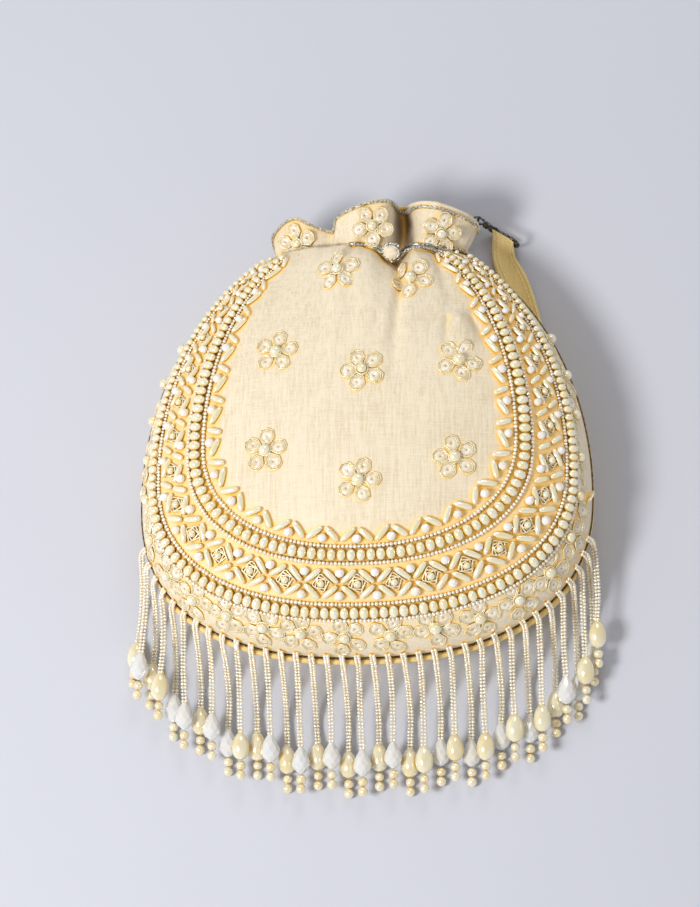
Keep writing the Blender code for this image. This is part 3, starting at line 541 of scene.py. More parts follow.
def sewnPieces(name, places, piece, finish, wobble=0.0, change=0.0, seed=1, smooth=True):
    # places: (point, along, up, size)
    base = bpy.data.meshes.new(name + "Places")
    base.from_pydata([tuple(float(part) * mm for part in place[0]) for place in places], [], [])
    giveVectors(base, "along", [tuple(place[1]) for place in places])
    giveVectors(base, "up", [tuple(place[2]) for place in places])
    sizes = [place[3] if hasattr(place[3], "__len__") else (place[3],) * 3 for place in places]
    giveVectors(base, "size", sizes)
    pattern = addObject(name + "Piece", piece, finish)
    values = {"Piece": pattern, "Wobble": wobble, "Size Change": change, "Seed": seed, "Finish": finishes[finish]}
    made = growPiece(name, sewnTree, base, finish, values, smooth)
    bpy.data.objects.remove(pattern)
    return made


# Shape of the body, as in the CAD source

body = {
    "halfWidth": 99.0,
    "widestY": -13.9,
    "bottomDepth": 70.8,
    "shoulderReach": 122.5,
    "squareness": 2.4,
    "neckY": 96.0,
    "neckLean": 0.6,
    "seamZ": 24.0,
    "seamOpening": 1.0,
    "frontRise": 38.0,
    "backFlatShare": 0.785,
    "wall": 1.6,
    "liningInset": 3.2,
    "lobes": 8,
    "lobePhase": radians(39),
    "gatherDepth": 2.2,
    "gatherStartY": 25.0,
}

# folds of the silk: points down its line, width, depth (a negative one stands up), how fast it fades
folds = [
    ([(14.0, 98), (15.5, 88), (18, 77), (16.5, 60), (15.8, 45), (15.5, 30)], 2.3, 4.2, 0.7),
    ([(23, 96), (23.5, 86), (23, 72), (20.5, 52)], 4.2, -2.0, 1.0),
    ([(5, 97), (4.5, 84), (6, 66), (8, 48)], 4.0, -1.3, 1.1),
    ([(-10, 98), (-15.2, 75), (-17.5, 50), (-18.4, 16)], 3.0, 1.3, 1.1),
    ([(-4, 98), (-4.1, 70), (-3.4, 48), (-3, 16)], 3.2, 1.1, 1.2),
    ([(-20, 97), (-28, 76), (-32, 55)], 3.0, -1.0, 1.2),
    ([(-27, 95), (-37, 74), (-41, 56)], 2.6, 1.1, 1.2),
    ([(32, 94), (38, 74), (43, 60)], 2.6, 1.6, 0.8),
    ([(44.2, 60), (45.6, 54), (47.0, 45)], 5.4, -2.0, 0.5),
    ([(38.8, 60.5), (38.2, 54), (38.6, 46)], 1.5, 1.7, 0.3),
    ([(49.0, 60.5), (52.4, 54), (55.5, 47)], 1.6, 1.5, 0.5),
    ([(9, 60), (4, 46), (-4, 36)], 3.4, 0.8, 0.8),
]
puffs = [(-14, 97, 17, 15, 2.4), (28, 93, 7, 11, 1.5), (13.5, 97, 4.5, 11, -3.2)]  # x, y, width, reach, height


def puffHeight(x, y):
    height = 0.0
    for px, py, width, reach, top in puffs:
        height = height + top * np.exp(-((x - px) / width) ** 2 - ((y - py) / reach) ** 2)
    return height


def neckEnd(x):  # where the gathered front panel ends, on each line along the bag
    return body["neckY"] + 2.2 - 1.6 * smoothStep((x - 18) / 20) - 7.0 * np.exp(-((x - 13.0) / 6.5) ** 2)


def overhang(x):  # where the silk of the body puffs over the cord and hides it
    return smoothStep((x + 46) / 8) * (1 - smoothStep((x + 11) / 7))


def smoothStep(value):
    value = np.clip(value, 0, 1)
    return value * value * (3 - 2 * value)


def leanAt(y):
    share = np.maximum(0, (y - body["widestY"]) / (body["neckY"] - body["widestY"]))
    return body["neckLean"] * share ** 2


def halfWidthAt(y, inset=0.0):
    rise = np.maximum(0, y - body["widestY"]) / (body["shoulderReach"] - inset)
    return (body["halfWidth"] - inset) * np.sqrt(np.maximum(0, 1 - rise * rise))


def fullness(x, y, inset=0.0):
    side = np.abs(x - leanAt(y)) / (body["halfWidth"] - inset)
    rise = np.maximum(0, y - body["widestY"]) / (body["shoulderReach"] - inset)
    drop = np.maximum(0, body["widestY"] - y) / (body["bottomDepth"] - inset)
    power = body["squareness"]
    upper = side ** 2 + rise ** 2
    lower = (side ** power + drop ** power) ** (2 / power)
    return np.sqrt(np.maximum(0, 1 - np.where(y >= body["widestY"], upper, lower)))


def gatherDepth(x, y):
    share = np.clip((x - leanAt(y)) / np.maximum(1, halfWidthAt(y)), -1, 1)
    fade = smoothStep((y - body["gatherStartY"]) / (body["neckY"] - body["gatherStartY"])) ** 2
    middle = 1 - smoothStep((np.abs(share) - 0.35) / 0.3)
    angle = np.arccos(-share)
    return body["gatherDepth"] * fade * middle * np.cos(body["lobes"] * (angle - body["lobePhase"]))


def foldDepth(x, y):
    depth = np.zeros(np.shape(x))
    for line, width, deep, fade in folds:
        steps = len(line) - 1
        near = np.full(np.shape(x), 1e9)
        share = np.zeros(np.shape(x))
        for k in range(steps):
            ax, ay = line[k]
            bx, by = line[k + 1]
            dx, dy = bx - ax, by - ay
            t = np.clip(((x - ax) * dx + (y - ay) * dy) / (dx * dx + dy * dy), 0, 1)
            gap = np.hypot(x - ax - t * dx, y - ay - t * dy)
            share = np.where(gap < near, (k + t) / steps, share)
            near = np.minimum(near, gap)
        wide = width * (0.6 + share * 0.9)
        depth -= deep * np.exp(-(near / wide) ** 2) * (1 - share) ** fade
    return depth


def frontZ(x, y, inset=0.0):
    x = np.asarray(x, dtype=float)
    y = np.asarray(y, dtype=float)
    rise = body["frontRise"] - inset - body["seamOpening"]
    plain = body["seamZ"] + body["seamOpening"] + rise * fullness(x, y, inset)
    return plain + gatherDepth(x, y) + foldDepth(x, y) + puffHeight(x, y)


def backZ(x, y, inset=0.0):
    x = np.asarray(x, dtype=float)
    y = np.asarray(y, dtype=float)
    drop = body["seamZ"] - body["seamOpening"] - inset
    return body["seamZ"] - body["seamOpening"] - drop * np.minimum(1, fullness(x, y, inset) / body["backFlatShare"])


def frontNormal(x, y):
    step = 0.4
    slopeX = (frontZ(x + step, y) - frontZ(x - step, y)) / (2 * step)
    slopeY = (frontZ(x, y + step) - frontZ(x, y - step)) / (2 * step)
    return Vector((-float(slopeX), -float(slopeY), 1)).normalized()


def onFront(point, height=0.0):
    x, y = point[0], point[1]
    return Vector((x, y, float(frontZ(x, y)))) + frontNormal(x, y) * height


def panelPoints(height, columns, stations, inset=0.0, neckY=None, crowd=1.35):
    top = body["neckY"] if neckY is None else neckY
    share = np.sin(pi * (np.arange(columns + 1) / columns - 0.5))
    if callable(top):
        top = top(leanAt(body["neckY"]) + share * halfWidthAt(body["neckY"]))
    power = body["squareness"]
    depth = (body["bottomDepth"] - inset) * np.maximum(0, 1 - np.abs(share) ** power) ** (1 / power)
    start = body["widestY"] - depth
    rows = []
    for j in range(stations + 1):
        y = start + (top - start) * (j / stations) ** crowd
        below = np.minimum(y, body["neckY"])
        x = leanAt(below) + share * halfWidthAt(below, inset)
        rows.append(np.stack([x, y, height(x, y, inset)], axis=1))
    return np.array(rows)


# Body

bodyCloth = {"columns": 220, "stations": 170, "backColumns": 120, "backStations": 90, "edgeStitchPitch": 2.6}


def clothArea(rows):
    a = rows[:-1, :-1]
    b = rows[:-1, 1:]
    c = rows[1:, 1:]
    d = rows[1:, :-1]
    first = np.linalg.norm(np.cross(b - a, c - a), axis=2).sum() / 2
    second = np.linalg.norm(np.cross(c - a, d - a), axis=2).sum() / 2
    return float(first + second) * mm * mm


def addWall(piece, thickness):
    wall = piece.modifiers.new("wall", "SOLIDIFY")
    wall.thickness = thickness * mm
    wall.offset = -1
    wall.use_even_offset = False


def makeBody():
    columns, stations = bodyCloth["columns"], bodyCloth["stations"]
    rows = panelPoints(frontZ, columns, stations, 0.0, neckEnd)
    tuck = smoothStep((np.arange(stations + 1) / stations - 0.97) / 0.03)
    rows[:, :, 2] -= 2.4 * tuck[:, None] * smoothStep((rows[:, :, 2] - 28) / 8) * (1 - overhang(rows[:, :, 0]))
    faces = gridFaces(stations + 1, columns + 1)
    front = addObject("silkFront", meshFrom("silkFront", rows.reshape(-1, 3), faces, outward=False), "silk")
    addWall(front, body["wall"])
    columns, stations = bodyCloth["backColumns"], bodyCloth["backStations"]
    rear = panelPoints(backZ, columns, stations)
    faces = [face[::-1] for face in gridFaces(stations + 1, columns + 1)]
    back = addObject("silkBack", meshFrom("silkBack", rear.reshape(-1, 3), faces, outward=False), "tanSilk")
    addWall(back, body["wall"])
    inset = body["liningInset"]
    parts = []
    liningFaces = []
    for height, flip in ((frontZ, False), (backZ, True)):
        sheet = panelPoints(height, 70, 50, inset, body["neckY"] - inset)
        start = sum(len(part) for part in parts)
        for face in gridFaces(51, 71):
            face = tuple(start + i for i in face)
            liningFaces.append(face[::-1] if flip else face)
        parts.append(sheet.reshape(-1, 3))
    points = np.concatenate(parts)
    seam = np.abs(np.abs(points[:, 2] - body["seamZ"]) - body["seamOpening"]) < 0.02
    points[seam, 2] = body["seamZ"]
    mesh = meshFrom("satinLining", points, liningFaces, outward=False)
    shape = bmesh.new()
    shape.from_mesh(mesh)
    bmesh.ops.remove_doubles(shape, verts=shape.verts, dist=0.02 * mm)
    shape.to_mesh(mesh)
    shape.free()
    lining = addObject("satinLining", mesh, "satin")
    addWall(lining, 0.7)
    return front, back, lining, clothArea(rows), clothArea(rear)


silkFront, silkBack, satinLining, frontArea, backArea = makeBody()
print("body cloth ready")


# Mouth: frill, lace and drawstring

frill = {
    "rootHalfWidth": 42.0,
    "rootLean": 1.8,
    "frontRise": 17.0,
    "backDrop": 13.5,
    "wall": 1.0,
    "columns": 540,
    "rows": 28,
    "laceWidth": 1.6,
    "valley": (113.5, 7.5, 12.0),
}

# angle round the mouth from its left side over the front, place of the edge there, hem beyond the lace
frillEdge = [
    (0, (-41.0, 104.0, 22.0), 0.4),
    (18, (-40.2, 108.2, 30.0), 0.4),
    (38, (-30.5, 112.2, 39.0), 0.4),
    (56, (-19.0, 107.9, 36.6), 0.4),
    (64, (-12.8, 107.0, 35.5), 0.4),
    (71, (-10.6, 111.6, 41.0), 0.4),
    (85, (-1.0, 115.2, 45.5), 0.4),
    (96, (8.0, 116.8, 47.0), 0.4),
    (102, (12.6, 117.2, 45.4), 0.4),
    (105, (14.0, 117.6, 41.0), 0.6),
    (108, (14.6, 118.4, 36.0), 1.2),
    (114, (17.4, 118.0, 35.0), 1.4),
    (121, (21.6, 117.0, 39.5), 1.6),
    (131, (27.8, 116.2, 43.6), 1.8),
    (143, (35.5, 114.8, 44.0), 2.0),
    (158, (46.0, 112.2, 37.0), 2.0),
    (170, (50.4, 110.6, 29.0), 1.6),
    (184, (50.4, 109.6, 21.5), 1.0),
    (200, (47.0, 111.8, 16.5), 0.8),
    (216, (41.0, 114.0, 13.2), 0.8),
    (235, (27.0, 110.0, 10.0), 0.8),
    (255, (12.0, 109.5, 12.5), 0.8),
    (275, (-3.0, 107.5, 9.8), 0.8),
    (300, (-20.0, 108.0, 12.0), 0.8),
    (325, (-34.0, 105.5, 11.5), 0.6),
    (345, (-39.8, 104.0, 16.5), 0.4),
]


def closedCurve(stops):
    # a smooth closed run of values through (angle, values) pairs
    angles = np.radians(np.array([angle for angle, values in stops], dtype=float))
    values = np.array([values for angle, values in stops], dtype=float)
    angles = np.concatenate([angles[-2:] - 2 * pi, angles, angles[:3] + 2 * pi])
    values = np.concatenate([values[-2:], values, values[:3]])
    slopes = np.zeros_like(values)
    slopes[1:-1] = (values[2:] - values[:-2]) / (angles[2:] - angles[:-2])[:, None]

    def read(angle):
        angle = np.mod(np.asarray(angle, dtype=float), 2 * pi)
        k = np.clip(np.searchsorted(angles, angle, side="right") - 1, 1, len(angles) - 3)
        step = (angles[k + 1] - angles[k])[..., None]
        t = (angle[..., None] - angles[k][..., None]) / step
        first = (2 * t ** 3 - 3 * t ** 2 + 1) * values[k] + (t ** 3 - 2 * t ** 2 + t) * step * slopes[k]
        return first + (3 * t ** 2 - 2 * t ** 3) * values[k + 1] + (t ** 3 - t ** 2) * step * slopes[k + 1]

    return read


edgeCurve = closedCurve([(angle, place) for angle, place, hem in frillEdge])
hemCurve = closedCurve([(angle, (hem,)) for angle, place, hem in frillEdge])


def frillPoints(angle, share):
    angle = np.asarray(angle, dtype=float)
    share = np.asarray(share, dtype=float)
    edge = edgeCurve(angle)
    front = np.sin(angle) > 0
    rise = np.where(front, frill["frontRise"], frill["backDrop"])
    ripple = 0.55 * np.cos(30 * angle + 1.3) + 0.3 * np.cos(47 * angle)
    half = frill["rootHalfWidth"] + ripple * 0.5
    rootX = frill["rootLean"] - half * np.cos(angle)
    rootZ = body["seamZ"] + (rise + ripple) * np.sin(angle)
    dip = neckEnd(rootX) - body["neckY"] - 2.2
    rootY = body["neckY"] + 0.6 + np.where(front, dip * np.sin(angle) ** 2, 0)
    rootZ = rootZ + np.where(front, 0.28 * dip - 5.0 * overhang(rootX), 0)
    open_ = share ** 0.8
    crease = 0.5 * np.cos(19 * angle + 2.0 * share) * share * (1 - share) * 4 * 0.6
    x = rootX + (edge[..., 0] - rootX) * open_
    y = rootY + (edge[..., 1] - rootY) * share
    z = rootZ + (edge[..., 2] - rootZ) * open_ + crease * np.sin(angle)
    valley = np.exp(-((np.degrees(np.mod(angle, 2 * pi)) - frill["valley"][0]) / frill["valley"][1]) ** 2)
    z = z - frill["valley"][2] * valley * np.clip(share * (1.12 - share) * 3.2, 0, 1)
    return np.stack(np.broadcast_arrays(x, y, z), axis=-1)


def frillPoint(angle, share, height=0.0):
    spot = Vector(frillPoints(angle, share))
    if not height:
        return spot
    return spot + frillNormal(angle, share) * height


def frillNormal(angle, share, step=0.008):
    roundWay = Vector(frillPoints(angle + step, share)) - Vector(frillPoints(angle - step, share))
    outWay = Vector(frillPoints(angle, share + step)) - Vector(frillPoints(angle, share - step))
    return roundWay.cross(outWay).normalized()


def makeFrill():
    columns, rows = frill["columns"], frill["rows"]
    angles = 2 * pi * np.arange(columns) / columns
    points = np.array([frillPoints(angles, j / (rows - 1)) for j in range(rows)])
    faces = gridFaces(rows, columns, True)
    made = addObject("silkFrill", meshFrom("silkFrill", points.reshape(-1, 3), faces, outward=False), "silk")
    addWall(made, frill["wall"])
    around = np.concatenate([points, points[:, :1]], axis=1)
    return made, clothArea(around)


def laceShares(angle):
    # where the lace's two edges lie, as shares of the frill's height
    height = (Vector(frillPoints(angle, 1.0)) - Vector(frillPoints(angle, 0.0))).length
    hem = float(hemCurve(angle)[0])
    width = frill["laceWidth"] * (0.55 + 0.45 * float(smoothStep((angle % (2 * pi) - 1.0) / 0.3)))
    return 1 - (hem + width) / height, 1 - hem / height


def makeLace():
    count = 520
    start = radians(222)
    turn = 2 * pi - radians(14)
    points = []
    middle = []
    for i in range(count):
        angle = start + turn * i / (count - 1)
        inner, outer = laceShares(angle)
        for share, height in ((inner, 0.25), (outer, 0.25), (outer, 0.55), ((inner + outer) / 2, 0.7), (inner, 0.55)):
            points.append(frillPoint(angle, share, height))
        middle.append((frillPoint(angle, (inner + outer) / 2, 0.8), frillNormal(angle, inner), 1.0))
    faces = gridFaces(count, 5, True)
    faces.append(tuple(range(5)))
    faces.append(tuple((count - 1) * 5 + j for j in range(5))[::-1])
    band = addObject("laceBand", meshFrom("laceBand", points, faces), "silverThread")
    zigzag = [(-0.9, -0.65, 0), (-0.45, 0.65, 0.2), (0, -0.65, 0), (0.45, 0.65, 0.2), (0.9, -0.65, 0)]
    stitches = strungBeads("laceStitches", [middle], tube("laceStitch", zigzag, 0.24, 5), "silverThread", 1.8, 0.2, 0.1, 3)
    dots = strungBeads("laceDots", [middle], roundBead("laceDot", 0.6, 0.6, None, 6, 4), "cordThread", 1.8, 0, 0.15, 5)
    return band, stitches, dots


drawcord = {"radius": 0.75, "share": 0.075, "lift": 0.95, "knob": (13.4, 92.6), "knobSize": 3.3, "loopRadius": 3.5}


def makeDrawstring():
    path = [frillPoint(2 * pi * i / 480, drawcord["share"], drawcord["lift"]) for i in range(480)]
    cord = tube("twistedDrawstring", path, drawcord["radius"], 10, True, 0.42, 0.2)
    x, y = drawcord["knob"]
    centre = Vector((x, y, float(frontZ(x - 4, y - 3)) + 1.6))
    size = drawcord["knobSize"]
    knob = roundBead("silkKnob", size * 2.1, size * 1.9, size * 1.5, 28, 18)
    for vertex in knob.vertices:
        angle = atan2(vertex.co.y, vertex.co.x)
        flat = sqrt(vertex.co.x ** 2 + vertex.co.y ** 2) / (size * mm)
        vertex.co *= 1 + 0.07 * flat * cos(9 * angle) + 0.04 * cos(5 * angle + 1)
    tilt = Matrix.Rotation(0.5, 4, "X") @ Matrix.Rotation(-0.3, 4, "Y")
    knob.transform(Matrix.Translation(centre * mm) @ tilt)
    silkKnob = addObject("silkKnob", knob, "silk")
    loops = []
    for turns, radius, lift in ((1.0, drawcord["loopRadius"], -0.2), (0.62, drawcord["loopRadius"] * 1.25, -1.2)):
        line = []
        for i in range(61):
            angle = 2 * pi * turns * i / 60 + 0.7
            flat = Vector((radius * 1.06 * cos(angle), radius * 0.86 * sin(angle), lift))
            line.append(centre + tilt.to_3x3() @ flat)
        loops.append(tube("knobLoop", line, drawcord["radius"] * 0.85, 8, False, 0.5, 0.2))
    ends = []
    for route in (((5, 96.5), (8.5, 94.5), (11, 90.5), (13, 88.4)), ((17, 90), (21, 93.5), (26, 94.6), (32, 94.2), (38, 92.6))):
        line = smoothRoute([onFront(place, 1.3) for place in route], 8)
        ends.append(tube("cordEnd", line, drawcord["radius"] * 0.9, 8, False, 0.45, 0.2))
    whole = addObject("twistedDrawstring", joinMeshes("twistedDrawstring", [cord, *loops, *ends]), "cordThread")
    return whole, silkKnob


silkFrill, frillArea = makeFrill()
laceBand, laceStitches, laceDots = makeLace()
drawstring, silkKnob = makeDrawstring()
print("mouth ready")


# Border family of U-shaped lines

border = {
    "fieldHalfWidth": 58.6,
    "fieldCentreY": 8.9,
    "fieldDepth": 43.3,
    "fieldReach": 97.4,
    "fieldSquareness": 2.2,
    "sideEase": 1.37,
    "topY": 93.0,
}


def uLine(place, sidePoints=90, topY=None):
    topY = topY or border["topY"]
    half = border["fieldHalfWidth"] + (body["halfWidth"] - border["fieldHalfWidth"]) * (1 - (1 - place) ** border["sideEase"])
    centre = border["fieldCentreY"] + (body["widestY"] - border["fieldCentreY"]) * place
    depth = border["fieldDepth"] + (body["bottomDepth"] - border["fieldDepth"]) * place
    reach = border["fieldReach"] + (body["shoulderReach"] - border["fieldReach"]) * place
    power = border["fieldSquareness"] + (body["squareness"] - border["fieldSquareness"]) * place
    topAngle = acos(max(-1, min(1, (topY - centre) / reach)))
    right = []
    for i in range(sidePoints):
        angle = pi / 2 * i / sidePoints
        right.append((half * sin(angle) ** (2 / power), centre - depth * cos(angle) ** (2 / power)))
    for i in range(sidePoints + 1):
        angle = pi / 2 + (topAngle - pi / 2) * i / sidePoints
        y = centre + reach * cos(angle)
        right.append((half * sin(angle) + float(leanAt(y)) * place, y))
    left = [(2 * float(leanAt(y)) * place - x, y) for x, y in right[:0:-1]]
    return [Vector((x, y, 0)) for x, y in left + right]


def spread(points, count):
    # evenly spaced by the length on the cloth
    seated = np.array([[p.x, p.y, float(frontZ(p.x, p.y))] for p in points])
    plan = seated[:, :2]
    lengths = np.concatenate([[0], np.cumsum(np.linalg.norm(np.diff(seated, axis=0), axis=1))])
    targets = np.linspace(0, lengths[-1], count)
    return [Vector((float(np.interp(t, lengths, plan[:, 0])), float(np.interp(t, lengths, plan[:, 1])), 0)) for t in targets]


def seatedPlaces(points):
    x = np.array([p.x for p in points])
    y = np.array([p.y for p in points])
    return np.stack([x, y, frontZ(x, y)], axis=1)


def crowding(place, neighbour, count, least=0.6):
    # sizes for pieces spread along one row: 1 at the bottom, smaller where it runs together with its neighbour
    own = seatedPlaces(spread(uLine(place), count))
    other = seatedPlaces(spread(uLine(neighbour), 400))
    gaps = np.array([np.linalg.norm(other - point, axis=1).min() for point in own])
    return [max(least, min(1.0, float(gap)) ** 0.55) for gap in gaps / gaps[count // 2]]


def beadRow(place, neighbour, pitch, height, least):
    # places for beads strung along one row, closer together where they are smaller
    own = seatedPlaces(spread(uLine(place), 600))
    sizes = crowding(place, neighbour, 600, least)
    run = np.concatenate([[0], np.cumsum(np.linalg.norm(np.diff(own, axis=0), axis=1))])
    places = []
    at = 0.0
    while at < run[-1]:
        size = float(np.interp(at, run, sizes))
        x, y = [float(np.interp(at, run, own[:, axis])) for axis in (0, 1)]
        aheadX, aheadY = [float(np.interp(at + 1, run, own[:, axis])) - float(np.interp(at - 1, run, own[:, axis]))
                          for axis in (0, 1)]
        normal = frontNormal(x, y)
        seat = Vector((x, y, float(frontZ(x, y)))) + normal * height * size
        places.append((seat, Vector((aheadX, aheadY, 0)), normal, size))
        at += pitch * size
    return places


beadRows = {
    "seedRows": ((0.171, 0.24), (0.31, 0.24), (0.632, 0.692), (0.753, 0.692)),
    "seedSize": 1.9,
    "seedPitch": 1.74,
    "ovalRows": ((0.24, 0.171), (0.692, 0.753)),
    "ovalLength": 4.05,
    "ovalAcross": 5.3,
    "ovalHeight": 3.9,
    "ovalPitch": 4.25,
}


def makeBeadRows():
    made = []
    seedSize = beadRows["seedSize"]
    for i, (place, neighbour) in enumerate(beadRows["seedRows"]):
        bead = roundBead("seedBead", seedSize * 0.9, seedSize, None, 8, 5)
        places = beadRow(place, neighbour, beadRows["seedPitch"], seedSize / 2 + 0.05, 0.72)
        row = sewnPieces(f"seedRow{i + 1}", places, bead, "seed", 0.5, 0.13, 11 + i)
        made.append(row)
    for i, (place, neighbour) in enumerate(beadRows["ovalRows"]):
        bead = roundBead("ovalPearl", beadRows["ovalLength"], beadRows["ovalAcross"], beadRows["ovalHeight"], 16, 10)
        places = beadRow(place, neighbour, beadRows["ovalPitch"], beadRows["ovalHeight"] / 2 + 0.1, 0.72)
        row = sewnPieces(f"ovalPearlRow{i + 1}", places, bead, "pearl", 0.16, 0.05, 21 + i)
        made.append(row)
    return made


rice = {
    "length": 8.5,
    "width": 2.75,
    "innerEdges": (0.012, 0.138),
    "innerTurns": 50,
    "crystalSize": 4.1,
    "diamondEdges": (0.35, 0.597),
    "diamonds": 28,
    "spiralSize": 9.8,
    "spiralPearl": 3.2,
}


def ricePearl(length):
    half = length / 2
    width = rice["width"] / 2
    profile = [(-half, 0), (-half * 0.985, width * 0.42), (-half * 0.86, width * 0.72), (-half * 0.5, width * 0.96),
               (0, width), (half * 0.5, width * 0.96), (half * 0.86, width * 0.72), (half * 0.985, width * 0.42), (half, 0)]
    return turnedShape("ricePearl", profile, 12)


def sidePlace(near, far, height, size=1.0):
    # a long pearl lying from one cloth point to another
    a = onFront(near, height * size)
    b = onFront(far, height * size)
    seat = (near + far) / 2
    middle = ((a + b) / 2).lerp(onFront(seat, height * size), 0.7)
    stretch = min(1.0, (b - a).length * 0.94 / rice["length"])
    return middle, (b - a).normalized(), frontNormal(seat.x, seat.y), (stretch, size, size)


def crystalBead(name, size):
    half = size / 2
    profile = [(-half, 0), (-half * 0.92, half * 0.45), (-half * 0.5, half * 0.88), (0, half), (half * 0.5, half * 0.88),
               (half * 0.92, half * 0.45), (half, 0)]
    return turnedShape(name, profile, 8, stagger=True, smooth=False)


def squareSpiral(size):
    # a bent wire that winds inwards in squares, standing on one corner
    path = []
    turns = 2.5
    steps = int(turns * 4)
    for k in range(steps + 1):
        reach = size / 2 * (1 - 0.55 * k / steps)
        angle = pi / 2 * k + 0.10 * k
        corner = Vector((reach * cos(angle), reach * sin(angle), 0.35 * k / steps))
        if path:
            for t in (0.1, 0.5, 0.9):
                path.append(last.lerp(corner, t))
        else:
            path.append(corner)
        last = corner
    return tube("squareSpiral", path, 0.36, 6)


def seatOf(spot, height, size):
    return onFront(spot, height * size), Vector((1, 0.3, 0)), frontNormal(spot.x, spot.y), size


def makeRiceWork():
    width = rice["width"]
    lift = width / 2 + 0.1
    turns = rice["innerTurns"]
    lines = [spread(uLine(edge), turns + 1) for edge in rice["innerEdges"]]
    corners = [lines[(i + 1) % 2][i] for i in range(turns + 1)]
    sizes = crowding(*rice["innerEdges"], turns + 1, 0.66)
    zigzag = [sidePlace(near, far, lift, size) for near, far, size in zip(corners, corners[1:], sizes)]
    zigzagPearls = sewnPieces("innerZigzagPearls", zigzag, ricePearl(rice["length"]), "pearl", 0.0, 0.03, 31)
    crystals = []
    crystalLine = spread(uLine(0.108), turns + 1)
    half = rice["crystalSize"] / 2
    for i in range(1, turns + 1, 2):
        crystals.append(seatOf(crystalLine[i], half - 0.3, max(0.72, sizes[i])))
    count = rice["diamonds"]
    edges = rice["diamondEdges"]
    top, bottom = [spread(uLine(edge), count + 1) for edge in edges]
    middle = spread(uLine(sum(edges) / 2), 2 * count + 1)
    sizes = crowding(*edges, 2 * count + 1, 0.6)
    diamonds = []
    spirals = []
    hearts = []
    for i in range(count + 1):
        centre = middle[2 * i]
        size = sizes[2 * i]
        before = middle[max(0, 2 * i - 1)]
        after = middle[min(2 * count, 2 * i + 1)]
        if i > 0:
            diamonds.append(sidePlace(before.lerp(top[i], 0.05), top[i].lerp(before, 0.05), lift, size))
            diamonds.append(sidePlace(bottom[i].lerp(before, 0.05), before.lerp(bottom[i], 0.05), lift, size))
        if i < count:
            diamonds.append(sidePlace(top[i].lerp(after, 0.05), after.lerp(top[i], 0.05), lift, size))
            diamonds.append(sidePlace(after.lerp(bottom[i], 0.05), bottom[i].lerp(after, 0.05), lift, size))
        normal = frontNormal(centre.x, centre.y)
        along = (onFront(after) - onFront(before)).normalized()
        spirals.append((onFront(centre, 0.7), along, normal, size))
        hearts.append((onFront(centre, rice["spiralPearl"] / 2 + 0.3), along, normal, size))
    for place in (edges[0] + 0.034, edges[1] - 0.034):
        between = spread(uLine(place), 2 * count + 1)
        for i in range(1, 2 * count, 2):
            crystals.append(seatOf(between[i], half - 0.3, max(0.68, sizes[i])))
    diamondPearls = sewnPieces("diamondPearls", diamonds, ricePearl(rice["length"]), "pearl", 0.0, 0.03, 33)
    wires = sewnPieces("squareSpirals", spirals, squareSpiral(rice["spiralSize"]), "goldWire", 0.0, 0.04, 35)
    heartBead = roundBead("heartPearl", rice["spiralPearl"], rice["spiralPearl"], None, 12, 8)
    heartPearls = sewnPieces("spiralPearls", hearts, heartBead, "pearl", 0.0, 0.05, 37)
    borderCrystals = sewnPieces("borderCrystals", crystals, crystalBead("borderCrystal", rice["crystalSize"]), "crystal",
                                0.4, 0.05, 39, False)
    return zigzagPearls, diamondPearls, wires, heartPearls, borderCrystals


rows = makeBeadRows()
zigzagPearls, diamondPearls, spiralWires, spiralPearls, borderCrystals = makeRiceWork()
print("border ready")


# Flowers: sequin petals outlined in wire round a pearl

flower = {
    "field": ((-9.5, 83.9), (22.2, 79.6), (-35.9, 45.8), (2.3, 35.5), (43.8, 39.5), (-39.8, 0.5), (0.9, -14.5), (42.1, -4.9)),
    "band": ((-81.0, 56.5), (-88.6, 40.0), (-92.6, 22.0), (-94.4, 3.5), (-94.4, -14.6), (-92.6, -32.5), (-85.2, -48.6),
             (-73.6, -59.8), (-58.4, -67.4), (-42.8, -73.2), (-26.4, -76.2), (-7.5, -78.4), (12.4, -78.0), (31.8, -75.4),
             (50.8, -71.4), (67.4, -63.6), (80.6, -52.0), (89.4, -36.6), (93.4, -18.6), (94.0, -1.0), (92.2, 18.4),
             (88.2, 36.7), (81.4, 54.0)),
    "turns": (20, 58, 8, 40, 62, 12, 70, 30),
    "petalReach": 6.1,
    "petal": ((-3.5, -1.1), (-3.5, 1.1), (-0.4, 3.4), (3.0, 2.5), (3.9, 0.0), (2.6, -2.7), (-0.8, -3.3)),
    "wire": 0.33,
    "pearl": 4.5,
    "frill": ((41, 0.34, 0.92), (93.5, 0.46, 0.95), (142, 0.34, 0.95)),
}


def petalOutline(scale):
    line = []
    corners = flower["petal"]
    for k, (x, y) in enumerate(corners):
        endX, endY = corners[(k + 1) % len(corners)]
        for t in (0.08, 0.5, 0.92):
            line.append(((x + (endX - x) * t) * scale, (y + (endY - y) * t) * scale, 0))
    return line


def petalWire():
    outer = tube("petalWire", [(x, y, 0.5) for x, y, z in petalOutline(1.0)], flower["wire"], 5, True)
    inner = tube("petalWireInner", [(x, y, 0.42) for x, y, z in petalOutline(0.8)], flower["wire"] * 0.85, 5, True)
    return joinMeshes("petalWire", [outer, inner])


def petalSequin():
    outline = petalOutline(0.8)
    count = len(outline)
    points = []
    for share, height in ((0.1, 0.3), (0.5, 0.5), (1.0, 0.34), (1.0, 0.1), (0.1, 0.1)):
        points += [(x * share, y * share, height) for x, y, z in outline]
    faces = gridFaces(5, count, True)
    faces += [(4 * count + i, 4 * count + (i + 1) % count, (i + 1) % count, i) for i in range(count)]
    return meshFrom("petalSequin", points, faces)


